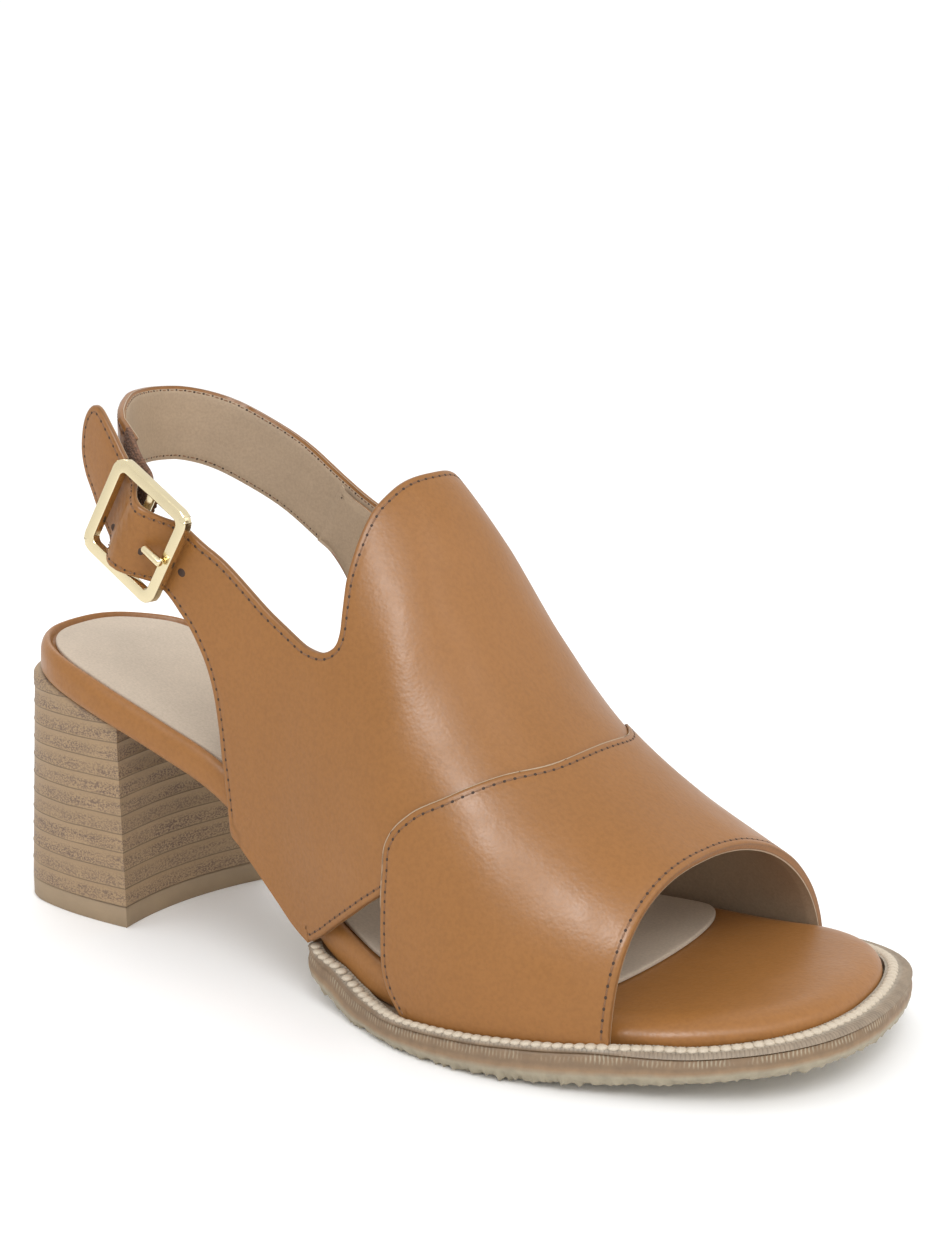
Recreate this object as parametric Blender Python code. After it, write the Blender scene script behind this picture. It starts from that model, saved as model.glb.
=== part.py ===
"""Open-toe slingback sandal with a stacked block heel, a right shoe, as separate solids.

Modelled in millimetres from the heel's back (+X to the toe, +Y to the medial side, +Z up),
then moved so that the origin is the middle of the box's floor, and scaled to metres.
"""

import math

import bmesh
import bpy
from mathutils import Matrix, Vector

# Sizes in millimetres
MM = 0.001
CLEAR = 0.3
LEATHER = 2.0
BAND_STEP = 0.8
BAND_STEP_RUN = 0.6
BED_ROLL = 2.4
BED_ROLL_DROP = 2.4
RIM_RISE = 2.0
RIM_FALL = 1.0
TOE_ROLL = 9.0
TOE_DROP = 4.6
BED_RINGS = (0.8, 2.4, 4.0, 6.5, 9.0)
SOCK_THICK = 1.0
SOCK_INSET = 4.6
SOCK_TIP_X = 193.0
SOCK_TIP_ROUND = 20.0
SOLE_SINK = 3.4
SOLE_END_X = 113.0
SOLE_UNDERCUT = 2.6
SOLE_BULGE = 0.7
WELT_THICK = 2.2
LIFT_PIECE = 5.8
HEEL_TOP_ROUND = 1.6
SLING_HALF = 10.2
SLING_THICK = 2.4
SLING_SEAT_GAP = 0.75
BUCKLE_HALF = 14.2
BUCKLE_BAR = 3.2
BUCKLE_DEEP = 2.6
BUCKLE_CORNER = 3.0
BUCKLE_LOW = 1.2
CENTRE_BAR_R = 1.2
PRONG_R = 1.1
STRAP_LIFT = 6.9
ELASTIC_HALF = 9.0
ELASTIC_THICK = 1.6

# The buckle's middle on the lateral wall and the way the strap runs there, seen from the side
BUCKLE_X = 59.4
BUCKLE_Z = 112.5
STRAP_RUN_X = -0.857
STRAP_RUN_Z = 0.515

# Sections of the upper over the last: station, ridge, widest points and fullness of each side
SECTIONS = (
    # x, z_ridge, y_ridge, y_lateral, y_medial, fullness_lateral, fullness_medial
    (24.0, 236.0, 0.0, -25.4, 20.0, 4.0, 4.0),
    (36.0, 226.0, 0.0, -28.6, 27.0, 4.0, 4.0),
    (47.0, 216.0, 0.0, -31.0, 29.8, 4.0, 4.0),
    (60.0, 200.0, 0.0, -32.3, 31.0, 4.0, 4.0),
    (80.0, 172.0, 1.0, -31.6, 32.0, 3.2, 3.0),
    (100.0, 150.0, 2.0, -33.4, 35.0, 2.7, 2.5),
    (122.0, 133.2, 2.4, -38.2, 42.0, 2.4, 2.1),
    (135.0, 118.9, 2.2, -41.8, 46.8, 2.3, 2.02),
    (148.0, 98.2, 2.1, -44.7, 50.6, 2.3, 2.0),
    (165.0, 75.7, 1.4, -46.6, 53.6, 2.4, 2.0),
    (185.0, 58.8, 1.1, -44.6, 55.2, 2.5, 2.0),
    (216.0, 41.4, 0.2, -36.6, 51.6, 2.6, 2.05),
)

# Line of the foot seen from the side: footbed top and footbed underside
PROFILE = (
    # x, z_top, z_under
    (-4.0, 75.4, 68.3),
    (15.0, 72.6, 65.4),
    (30.0, 68.4, 61.2),
    (45.0, 63.1, 56.2),
    (60.0, 57.6, 50.9),
    (75.0, 52.0, 45.0),
    (88.0, 44.6, 37.0),
    (100.0, 35.2, 27.4),
    (112.0, 25.6, 17.8),
    (124.0, 18.6, 10.8),
    (137.0, 14.8, 7.0),
    (147.0, 13.8, 6.5),
    (171.0, 13.9, 6.5),
    (187.0, 14.8, 7.3),
    (205.0, 16.4, 9.1),
    (225.0, 18.4, 11.4),
    (250.0, 21.0, 15.0),
)

# Plan outlines
FOOTBED_LINE = (
    # x, y
    (-2.2, 2.0), (0.0, -10.8), (7.0, -20.6), (18.0, -27.2), (33.0, -29.3), (52.0, -28.6),
    (72.0, -27.8), (90.0, -28.4), (108.0, -31.2), (124.0, -34.8), (140.0, -39.4),
    (155.0, -42.4), (170.0, -42.8), (186.0, -40.8), (202.0, -36.4), (217.0, -32.0),
    (231.0, -23.5), (239.5, -14.0), (243.3, -1.5), (243.0, 12.0), (240.5, 24.0),
    (235.5, 34.5), (228.0, 42.8), (217.0, 48.0), (203.0, 49.0), (185.0, 50.6),
    (166.0, 49.2), (148.0, 46.0), (132.0, 41.6), (116.0, 36.8), (100.0, 31.6),
    (84.0, 29.0), (66.0, 28.8), (48.0, 29.6), (32.0, 30.0), (16.0, 27.4), (5.0, 20.0),
    (-0.8, 12.0),
)
WELT_LINE = (
    # x, y
    (112.4, -31.6), (113.6, -34.4), (116.4, -36.6), (121.0, -38.4), (127.0, -40.4), (138.0, -44.6), (151.0, -48.8), (165.0, -50.2),
    (180.0, -49.2), (196.0, -45.4), (212.0, -39.6), (226.0, -32.8), (238.0, -24.6),
    (246.0, -14.0), (249.6, -1.0), (249.4, 12.0), (247.0, 25.0), (242.5, 37.0),
    (235.0, 46.5), (224.0, 53.5), (210.0, 57.6), (194.0, 59.4), (176.0, 58.8),
    (158.0, 56.2), (140.0, 50.8), (127.0, 45.6), (121.0, 42.8), (116.4, 39.8), (113.6, 37.0),
    (112.4, 33.8),
)
WAIST_LINE = (
    # x, y_lateral, y_medial
    (47.0, -20.5, 20.5),
    (62.0, -20.0, 20.5),
    (80.0, -20.5, 21.5),
    (98.0, -21.5, 23.0),
    (107.0, -24.0, 26.0),
)
SOLE_DEPTH = (
    # x, thickness
    (100.0, 3.2),
    (108.0, 3.6),
    (113.0, 6.3),
    (119.0, 7.4),
    (126.0, 8.4),
    (132.0, 7.7),
    (138.0, 6.6),
    (147.0, 6.2),
)
HEEL_LINE = (
    # x_top, y_top, x_floor, y_floor, of the lateral half from the back to the breast
    (-3.4, 0.0, -5.0, 0.0),
    (-2.2, -9.0, -4.6, -9.6),
    (1.6, -17.6, -2.4, -17.8),
    (9.4, -24.2, 4.6, -23.2),
    (20.0, -27.2, 17.0, -25.8),
    (31.0, -27.6, 30.0, -26.5),
    (41.2, -26.6, 42.2, -26.1),
)
BREAST_HOLLOW = 4.2
BREAST_SKEW = 4.0
BREAST_SKEW_FROM = 10.0
MEDIAL_FULLER = 0.04

# Edges of the upper on its lateral side, seen from the side
STRAP_TOP_EDGE = (
    # x, z
    (46.6, 137.4), (52.0, 130.6), (57.4, 124.8), (62.2, 120.7), (67.2, 117.2), (72.2, 114.2),
    (82.8, 107.4), (92.4, 100.5), (100.0, 95.1), (106.5, 91.3), (112.0, 88.7),
)
THROAT_EDGE = (
    # x, z
    (117.0, 88.1), (120.4, 89.8), (121.6, 93.2), (121.4, 99.0), (121.0, 105.0), (121.2, 109.5),
    (121.8, 116.0), (122.8, 122.4), (124.4, 126.6),
)
STRAP_TIP_EDGE = (
    # x, z
    (42.0, 142.0), (38.2, 142.2), (34.6, 138.2), (32.9, 131.0), (34.2, 124.8), (37.2, 119.8),
)
REAR_EDGE = (
    # x, z
    (40.8, 115.8), (46.2, 110.2), (52.9, 104.9), (60.0, 100.2), (66.2, 96.4), (70.0, 92.4),
    (74.0, 87.6), (78.0, 80.8),
)
REAR_LOW_EDGE = (
    # x, z
    (80.8, 73.2), (82.4, 63.6), (83.4, 54.0), (84.8, 43.0),
)
CUTOUT_QUARTER_EDGE = (
    # x, z
    (116.5, 16.6), (121.0, 18.6), (128.0, 24.0), (135.0, 29.4), (140.0, 33.0),
)
CUTOUT_BAND_EDGE = (
    # x, z
    (143.6, 34.6), (143.8, 26.0), (144.4, 18.0), (146.4, 12.6), (149.6, 8.6),
)
BAND_SEAM = (
    # x, z
    (143.4, 41.0), (143.4, 46.6), (145.6, 51.4), (149.8, 55.6), (158.4, 60.4), (167.0, 64.6),
)
SEAM_RIDGE_X = 174.8
SEAM_SHOULDER_X = 173.2
SEAM_SHOULDER_Q = 19.0
# Edges of the medial quarter, which ends under the sling strap
MEDIAL_TOP_EDGE = (
    # x, z
    (73.8, 117.6), (82.8, 112.4), (92.8, 106.2), (100.0, 100.6), (106.5, 94.8), (112.0, 90.2),
)
MEDIAL_END_EDGE = (
    # x, z
    (73.8, 117.6), (68.4, 109.6), (64.4, 101.4),
)
MEDIAL_REAR_EDGE = (
    # x, z
    (64.4, 101.4), (70.4, 97.2), (75.0, 91.0), (78.4, 83.0),
)
QUARTER_REAR_X = 85.4
QUARTER_FRONT_X = 115.0
QUARTER_DROP = 2.2
BAND_FOOT_X = 151.5
TOE_LATERAL_X = 204.6
TOE_RIDGE_X = 207.4
TOE_MEDIAL_X = 211.5
TONGUE_RIDGE_X = 126.2

# Sling strap path from the medial quarter round the heel to the elastic
SLING_PATH = (
    # x, y, z
    (55.0, 32.3, 118.7), (43.0, 29.2, 125.4), (34.0, 24.8, 130.0), (27.4, 18.0, 132.6),
    (24.8, 10.0, 133.2), (26.4, 1.4, 133.2), (30.6, -6.4, 133.0),
)
SLING_SEAT = (
    # x, z, on the medial quarter's outside
    (88.0, 98.6), (78.0, 104.4), (69.0, 109.6),
)
# Elastic path in the buckle's own frame
ELASTIC_PATH = (
    # along the strap, across it, out of it
    (0.6, 0.0, -0.1), (4.5, -0.6, -2.8), (9.0, -2.2, -4.6), (14.0, -4.0, -6.0), (21.0, -6.0, -9.3),
)

# Colours are linear
MATERIALS = (
    # name, red, green, blue, roughness, metallic
    ("tan_leather", 0.40, 0.17, 0.055, 0.42, 0.0),
    ("sock_leather", 0.47, 0.39, 0.30, 0.70, 0.0),
    ("crepe_rubber", 0.40, 0.31, 0.22, 0.75, 0.0),
    ("welt_leather", 0.62, 0.51, 0.36, 0.65, 0.0),
    ("stacked_leather", 0.36, 0.25, 0.16, 0.65, 0.0),
    ("heel_rubber", 0.22, 0.15, 0.085, 0.70, 0.0),
    ("brown_elastic", 0.12, 0.055, 0.025, 0.85, 0.0),
    ("gold_metal", 0.82, 0.68, 0.40, 0.25, 1.0),
)


def clear_scene():
    for thing in list(bpy.data.objects):
        bpy.data.objects.remove(thing, do_unlink=True)


def make_materials():
    made = {}
    for name, red, green, blue, roughness, metallic in MATERIALS:
        material = bpy.data.materials.new(name)
        material.use_nodes = True
        shader = material.node_tree.nodes["Principled BSDF"]
        shader.inputs["Base Color"].default_value = (red, green, blue, 1.0)
        shader.inputs["Roughness"].default_value = roughness
        shader.inputs["Metallic"].default_value = metallic
        made[name] = material
    return made


def along(rows, column, x):
    """Smooth value of one column of a table at x, without overshoot between rows."""
    last = len(rows) - 1
    if x <= rows[0][0]:
        return rows[0][column]
    if x >= rows[last][0]:
        return rows[last][column]
    i = 0
    while rows[i + 1][0] < x:
        i += 1

    def slope(k):
        return (rows[k + 1][column] - rows[k][column]) / (rows[k + 1][0] - rows[k][0])

    def tangent(k):
        if k == 0:
            return slope(0)
        if k == last:
            return slope(last - 1)
        before = slope(k - 1)
        after = slope(k)
        if before * after <= 0.0:
            return 0.0
        return 2.0 * before * after / (before + after)

    width = rows[i + 1][0] - rows[i][0]
    s = (x - rows[i][0]) / width
    start = rows[i][column] * (2 * s ** 3 - 3 * s ** 2 + 1)
    end = rows[i + 1][column] * (3 * s ** 2 - 2 * s ** 3)
    bend = width * (tangent(i) * (s ** 3 - 2 * s ** 2 + s) + tangent(i + 1) * (s ** 3 - s ** 2))
    return start + end + bend


def spline(points, parts, closed=False):
    """Points on a smooth curve through the given points, a number of parts to each span."""
    count = len(points)
    spans = count if closed else count - 1
    size = len(points[0])
    out = []
    for i in range(spans):
        if closed:
            p0, p1 = points[i - 1], points[i]
            p2, p3 = points[(i + 1) % count], points[(i + 2) % count]
        else:
            p0, p1 = points[max(i - 1, 0)], points[i]
            p2, p3 = points[i + 1], points[min(i + 2, count - 1)]
        for k in range(parts):
            s = k / parts
            row = []
            for c in range(size):
                a = 2.0 * p1[c]
                b = p2[c] - p0[c]
                d = 2.0 * p0[c] - 5.0 * p1[c] + 4.0 * p2[c] - p3[c]
                e = 3.0 * p1[c] - p0[c] - 3.0 * p2[c] + p3[c]
                row.append(0.5 * (a + b * s + d * s * s + e * s ** 3))
            out.append(tuple(row))
    if not closed:
        out.append(tuple(points[-1]))
    return out


def ease(value):
    """Smooth step from 0 to 1."""
    share = min(max(value, 0.0), 1.0)
    return share * share * (3.0 - 2.0 * share)


def bed_top(x):
    return along(PROFILE, 1, x)


def bed_under(x):
    return along(PROFILE, 2, x)


def upper_low(x):
    """Lowest line of the upper: under the footbed beside the waist, level with it at the ball."""
    return bed_under(x) - QUARTER_DROP * (1.0 - ease((x - 106.0) / 14.0))


def skin(x, t):
    """Outer face of the rear leather: t runs from -1 (lateral feather) over 0 (ridge) to 1."""
    z_ridge = along(SECTIONS, 1, x)
    y_ridge = along(SECTIONS, 2, x)
    side = 3 if t < 0.0 else 4
    y_side = along(SECTIONS, side, x)
    full = along(SECTIONS, side + 2, x)
    z_low = upper_low(x)
    angle = (1.0 - min(abs(t), 1.0)) * math.pi / 2.0
    reach = max(math.cos(angle), 0.0) ** (2.0 / full)
    rise = max(math.sin(angle), 0.0) ** (2.0 / full)
    return Vector((x, y_ridge + (y_side - y_ridge) * reach, z_low + (z_ridge - z_low) * rise))


def skin_normal(x, t):
    step = 0.004
    low = max(t - step, -1.0)
    high = min(t + step, 1.0)
    across = skin(x, high) - skin(x, low)
    forward = skin(x + 0.5, t) - skin(x - 0.5, t)
    out = forward.cross(across)
    if out.length < 1e-9:
        return Vector((0.0, 0.0, 1.0))
    out.normalize()
    return out


def girth(x, z, side):
    """The place t of height z on the skin's lateral (-1) or medial (1) side at x."""
    z_low = upper_low(x)
    z_ridge = along(SECTIONS, 1, x)
    full = along(SECTIONS, 5 if side < 0 else 6, x)
    high = min(max((z - z_low) / (z_ridge - z_low), 0.0), 1.0)
    return side * (1.0 - math.asin(high ** (full / 2.0)) / (math.pi / 2.0))


def pattern(rows, side):
    """Table of side-view points turned to the flat pattern: x across, hundredths of t up."""
    return [(x, 100.0 * girth(x, z, side)) for x, z in rows]


def strap_lift(x, z):
    """How far the strap stands out where it climbs over the buckle's centre bar."""
    s = (x - BUCKLE_X) * STRAP_RUN_X + (z - BUCKLE_Z) * STRAP_RUN_Z
    window = BUCKLE_HALF - BUCKLE_BAR
    if abs(s) >= window or x > 76.0:
        return 0.0
    return STRAP_LIFT * math.cos(math.pi * s / (2.0 * window)) ** 2


def cut_grid(bm, axis, start, stop, step):
    """Cut all faces of a flat sheet along one axis at even steps."""
    normal = Vector((1.0, 0.0, 0.0)) if axis == 0 else Vector((0.0, 1.0, 0.0))
    place = start
    while place < stop:
        geom = bm.verts[:] + bm.edges[:] + bm.faces[:]
        bmesh.ops.bisect_plane(bm, geom=geom, plane_co=normal * place, plane_no=normal, dist=0.02)
        place += step


def cut_strap(bm):
    """Cut the strap's part of the flat pattern across its run, where it climbs over the centre bar."""
    q = 100.0 * girth(BUCKLE_X, BUCKLE_Z, -1)
    rise_x = skin(BUCKLE_X + 0.5, q / 100.0).z - skin(BUCKLE_X - 0.5, q / 100.0).z
    rise_q = skin(BUCKLE_X, (q + 0.5) / 100.0).z - skin(BUCKLE_X, (q - 0.5) / 100.0).z
    normal = Vector((STRAP_RUN_X + STRAP_RUN_Z * rise_x, STRAP_RUN_Z * rise_q, 0.0)).normalized()
    window = BUCKLE_HALF - BUCKLE_BAR
    for share in (-1.0, -0.7, -0.35, 0.0, 0.35, 0.7, 1.0):
        x = BUCKLE_X + STRAP_RUN_X * window * share
        z = BUCKLE_Z + STRAP_RUN_Z * window * share
        place = Vector((x, 100.0 * girth(x, z, -1), 0.0))
        faces = []
        for f in bm.faces:
            middle = f.calc_center_median()
            if middle.x < 76.0 and middle.y < 0.0:
                faces.append(f)
        edges = {e for f in faces for e in f.edges}
        verts = {v for f in faces for v in f.verts}
        bmesh.ops.bisect_plane(bm, geom=list(verts) + list(edges) + faces, plane_co=place,
                               plane_no=normal, dist=0.02)


def thicken(bm):
    """Give a flat sheet a second layer one unit up, joined round its border."""
    made = bmesh.ops.extrude_face_region(bm, geom=bm.faces[:])
    top = [item for item in made["geom"] if isinstance(item, bmesh.types.BMVert)]
    bmesh.ops.translate(bm, vec=(0.0, 0.0, 1.0), verts=top)


def finish(bm, name, material, parent):
    bmesh.ops.remove_doubles(bm, verts=bm.verts[:], dist=0.01)
    bmesh.ops.triangulate(bm, faces=bm.faces[:])
    bmesh.ops.recalc_face_normals(bm, faces=bm.faces[:])
    mesh = bpy.data.meshes.new(name)
    bm.to_mesh(mesh)
    bm.free()
    mesh.materials.append(material)
    thing = bpy.data.objects.new(name, mesh)
    thing.parent = parent
    bpy.context.scene.collection.objects.link(thing)
    return thing


def polygon_sheet(points):
    bm = bmesh.new()
    bm.faces.new([bm.verts.new((x, y, 0.0)) for x, y in points])
    return bm


def inside_depth(points, x, y):
    """Distance of a point from a closed outline."""
    best = 1e9
    count = len(points)
    for i in range(count):
        ax, ay = points[i]
        bx, by = points[(i + 1) % count]
        dx, dy = bx - ax, by - ay
        size = dx * dx + dy * dy
        s = 0.0 if size == 0.0 else min(max(((x - ax) * dx + (y - ay) * dy) / size, 0.0), 1.0)
        best = min(best, math.hypot(x - ax - s * dx, y - ay - s * dy))
    return best


def shrink(points, amount):
    """Closed outline (running anticlockwise seen from above) moved inwards."""
    count = len(points)
    out = []
    for i in range(count):
        ax, ay = points[i - 1]
        bx, by = points[(i + 1) % count]
        dx, dy = bx - ax, by - ay
        size = math.hypot(dx, dy)
        x, y = points[i]
        out.append((x - dy / size * amount, y + dx / size * amount))
    return out


def make_upper(material, parent):
    """Rear piece with quarters, tongue and strap, and the front band as a step in the wall."""
    lateral_toe = (TOE_LATERAL_X, -100.0)
    medial_toe = (TOE_MEDIAL_X, 100.0)
    lateral_apex = pattern(((143.4, 35.4),), -1)[0]
    medial_apex = pattern(((143.4, 35.4),), 1)[0]
    over = [(SEAM_SHOULDER_X, -SEAM_SHOULDER_Q), (SEAM_RIDGE_X, 0.0), (SEAM_SHOULDER_X, SEAM_SHOULDER_Q)]
    seam = spline([lateral_apex] + pattern(BAND_SEAM, -1) + over + pattern(BAND_SEAM, 1)[::-1]
                  + [medial_apex], 2)
    seam_rear = []
    for i, (x, q) in enumerate(seam):
        ahead = seam[min(i + 1, len(seam) - 1)]
        behind = seam[max(i - 1, 0)]
        dx, dq = ahead[0] - behind[0], ahead[1] - behind[1]
        size = math.hypot(dx, dq)
        seam_rear.append((x - dq / size * BAND_STEP_RUN, q + dx / size * BAND_STEP_RUN))

    toe = spline((lateral_toe, (TOE_RIDGE_X, 0.0), medial_toe), 14)
    band_low = spline([lateral_apex] + pattern(CUTOUT_BAND_EDGE[1:], -1) + [(BAND_FOOT_X, -100.0)], 2)
    band_low_medial = spline([medial_apex] + pattern(CUTOUT_BAND_EDGE[1:], 1) + [(BAND_FOOT_X, 100.0)], 2)
    steps = 9
    feather = []
    feather_medial = []
    for k in range(1, steps):
        feather.append((BAND_FOOT_X + (TOE_LATERAL_X - BAND_FOOT_X) * k / steps, -100.0))
        feather_medial.append((TOE_MEDIAL_X + (BAND_FOOT_X - TOE_MEDIAL_X) * k / steps, 100.0))
    band = band_low + feather + toe + feather_medial + band_low_medial[::-1] + seam[::-1][1:-1]

    rear_side = []
    for side, rear_edge in ((-1, REAR_EDGE), (1, MEDIAL_REAR_EDGE)):
        low = []
        for k in range(7):
            low.append((QUARTER_REAR_X + (QUARTER_FRONT_X - QUARTER_REAR_X) * k / 6.0, 100.0 * side))
        rear_side.append((
            spline(pattern(rear_edge + REAR_LOW_EDGE, side) + [low[0]], 2),
            low,
            spline([low[-1]] + pattern(CUTOUT_QUARTER_EDGE, side), 2),
        ))
    lateral_top = STRAP_TOP_EDGE + THROAT_EDGE
    strap = spline(pattern(lateral_top[::-1] + STRAP_TIP_EDGE, -1), 2)
    tongue = spline([pattern(THROAT_EDGE[-1:], 1)[0], (TONGUE_RIDGE_X, 0.0),
                     pattern(THROAT_EDGE[-1:], -1)[0]], 6)
    medial_top = spline(pattern(MEDIAL_TOP_EDGE + THROAT_EDGE, 1), 2)
    medial_end = spline(pattern(MEDIAL_END_EDGE, 1), 1)
    lateral, medial = rear_side
    rear = (seam_rear + medial[2][::-1] + medial[1][::-1] + medial[0][::-1] + medial_end[::-1][1:]
            + medial_top[1:] + tongue[1:] + strap[1:] + lateral[0] + lateral[1][1:] + lateral[2][1:])

    bm = bmesh.new()
    zone = bm.verts.layers.int.new("zone")
    spots = {}

    def vert(point):
        key = (round(point[0], 3), round(point[1], 3))
        if key not in spots:
            spots[key] = bm.verts.new((point[0], point[1], 0.0))
        return spots[key]

    def face(points):
        loop = []
        for point in points:
            spot = vert(point)
            if not loop or loop[-1] is not spot:
                loop.append(spot)
        if loop[0] is loop[-1]:
            loop.pop()
        made = bm.faces.new(loop)
        return made

    face(band)
    face(rear)
    for i in range(len(seam) - 1):
        face((seam[i], seam_rear[i], seam_rear[i + 1], seam[i + 1]))
    front = {(round(x, 3), round(q, 3)) for x, q in band}
    for key, spot in spots.items():
        spot[zone] = 1 if key in front else 0
    band_faces = [f for f in bm.faces if all(v[zone] == 1 for v in f.verts)]
    for f in band_faces:
        f.material_index = 1
    cut_grid(bm, 0, 32.0, 210.0, 6.5)
    cut_grid(bm, 1, -96.0, 99.0, 6.4)
    cut_strap(bm)
    for f in bm.faces:
        if f.material_index == 1:
            for v in f.verts:
                v[zone] = 1
    thicken(bm)
    for f in bm.faces:
        f.material_index = 0
    for v in bm.verts:
        x, t, outer = v.co.x, v.co.y / 100.0, v.co.z > 0.5
        spot = skin(x, t)
        out = skin_normal(x, t)
        raised = BAND_STEP if v[zone] == 1 else 0.0
        lift = strap_lift(x, spot.z) if t < 0.0 else 0.0
        depth = raised + lift if outer else lift - LEATHER
        v.co = spot + out * depth
    return finish(bm, "upper", material, parent)


def bed_surface(x, depth):
    """Height of the footbed at a distance from its edge: a rolled rim round the sock, a soft roll at the toe."""
    toe = ease((x - 150.0) / 50.0)
    roll = BED_ROLL + (TOE_ROLL - BED_ROLL) * toe
    drop = BED_ROLL_DROP + (TOE_DROP - BED_ROLL_DROP) * toe
    rise = RIM_RISE * (1.0 - ease((x - 110.0) / 50.0))
    if depth < roll:
        share = depth / roll
        return bed_top(x) - drop + (drop + rise) * math.sqrt(share * (2.0 - share))
    fall = min((depth - roll) / RIM_FALL, 1.0)
    return bed_top(x) + rise * 0.5 * (1.0 + math.cos(math.pi * fall))


def make_footbed(material, parent):
    line = spline(FOOTBED_LINE, 3, closed=True)
    bm = polygon_sheet(line)
    core = bm.faces[:]
    reached = 0.0
    for ring in BED_RINGS:
        bmesh.ops.inset_region(bm, faces=core, thickness=ring - reached, use_boundary=True,
                               use_even_offset=True)
        core = [max(bm.faces, key=lambda f: f.calc_area())]
        reached = ring
    cut_grid(bm, 0, 5.0, 243.0, 9.0)
    thicken(bm)
    for v in bm.verts:
        if v.co.z > 0.5:
            v.co.z = bed_surface(v.co.x, inside_depth(line, v.co.x, v.co.y))
        else:
            v.co.z = bed_under(v.co.x)
    return finish(bm, "footbed", material, parent)


def make_sock(material, parent):
    """Thin pad on the footbed, inset from the rim, with a rounded front end."""
    line = shrink(spline(FOOTBED_LINE, 3, closed=True), SOCK_INSET)
    kept = [p for p in line if p[0] < SOCK_TIP_X - SOCK_TIP_ROUND]
    cut = next(i for i in range(len(line)) if line[i][0] >= SOCK_TIP_X - SOCK_TIP_ROUND)
    before = line[cut - 1]
    after = line[cut + (len(line) - len(kept))]
    centre_y = 0.5 * (before[1] + after[1])
    half = 0.5 * (after[1] - before[1])
    tip = []
    for k in range(1, 12):
        turn = math.pi * k / 12.0
        reach = math.sin(turn) ** 0.5
        tip.append((before[0] + (SOCK_TIP_X - before[0]) * reach, centre_y - half * math.cos(turn)))
    bm = polygon_sheet(line[:cut] + tip + line[cut + (len(line) - len(kept)):])
    cut_grid(bm, 0, 5.0, SOCK_TIP_X, 9.0)
    thicken(bm)
    for v in bm.verts:
        rest = bed_top(v.co.x) + CLEAR
        v.co.z = rest + SOCK_THICK if v.co.z > 0.5 else rest
    return finish(bm, "sock", material, parent)


def sole_line():
    lateral = [(x, y) for x, y, _ in WAIST_LINE]
    medial = [(x, y) for x, _, y in WAIST_LINE]
    return spline(lateral, 2) + spline(WELT_LINE, 3) + spline(medial[::-1], 2)


def sole_top(x):
    """Top of the sole: just under the footbed, and lower where the sole ends at the waist."""
    sink = ease((x - SOLE_END_X + 10.0) / 10.0) * (1.0 - ease((x - SOLE_END_X) / 13.0))
    return bed_under(x) - CLEAR - SOLE_SINK * sink


def sole_thick(x):
    return along(SOLE_DEPTH, 1, x)


def make_outsole(material, parent):
    """Crepe sole with a bulged, undercut side, thin under the waist, flat under the ball."""
    line = sole_line()
    line = shrink(line, 0.6)
    bm = polygon_sheet(line)
    cut_grid(bm, 0, 52.0, 248.0, 9.0)
    cut_grid(bm, 0, SOLE_END_X - 5.0, SOLE_END_X + 3.0, 2.5)
    layers = (
        # share of thickness, inset
        (0.5, -SOLE_BULGE),
        (0.82, 0.4),
        (1.0, SOLE_UNDERCUT),
    )
    rings = {0: bm.faces[:]}
    shares = {}
    for v in bm.verts:
        shares[v] = (0.0, 0.0)
    faces = rings[0]
    for share, inset in layers:
        made = bmesh.ops.extrude_face_region(bm, geom=faces)
        fresh = [g for g in made["geom"] if isinstance(g, bmesh.types.BMVert)]
        old = faces
        faces = [g for g in made["geom"] if isinstance(g, bmesh.types.BMFace)]
        if share > 0.5:
            bmesh.ops.delete(bm, geom=old, context="FACES_ONLY")
        for v in fresh:
            shares[v] = (share, inset)
    centre_line = [(x, 0.0) for x in (50.0, 100.0, 150.0, 200.0, 230.0)]
    for v in bm.verts:
        share, inset = shares[v]
        x, y = v.co.x, v.co.y
        rim = 1.0 - min(inside_depth(line, x, y) / 1.0, 1.0)
        if rim > 0.0 and inset != 0.0:
            toward = min(centre_line, key=lambda c: math.hypot(c[0] - x, c[1] - y))
            if x > 230.0:
                toward = (205.0, 8.0)
            way = Vector((toward[0] - x, toward[1] - y, 0.0))
            if x < 52.0:
                way = Vector((0.0, -y, 0.0))
            way.normalize()
            grow = min(max((x - 96.0) / 30.0, 0.0), 1.0)
            v.co += way * (inset * rim * grow)
        v.co.z = sole_top(x) - sole_thick(x) * share
    low = min(v.co.z for v in bm.verts)
    for v in bm.verts:
        if shares.get(v, (0.0, 0.0))[0] == 1.0 and v.co.z < 0.12:
            v.co.z = 0.0
    if abs(low) > 0.3:
        print("sole floor is off by", low)
    return finish(bm, "outsole", material, parent)


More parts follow.
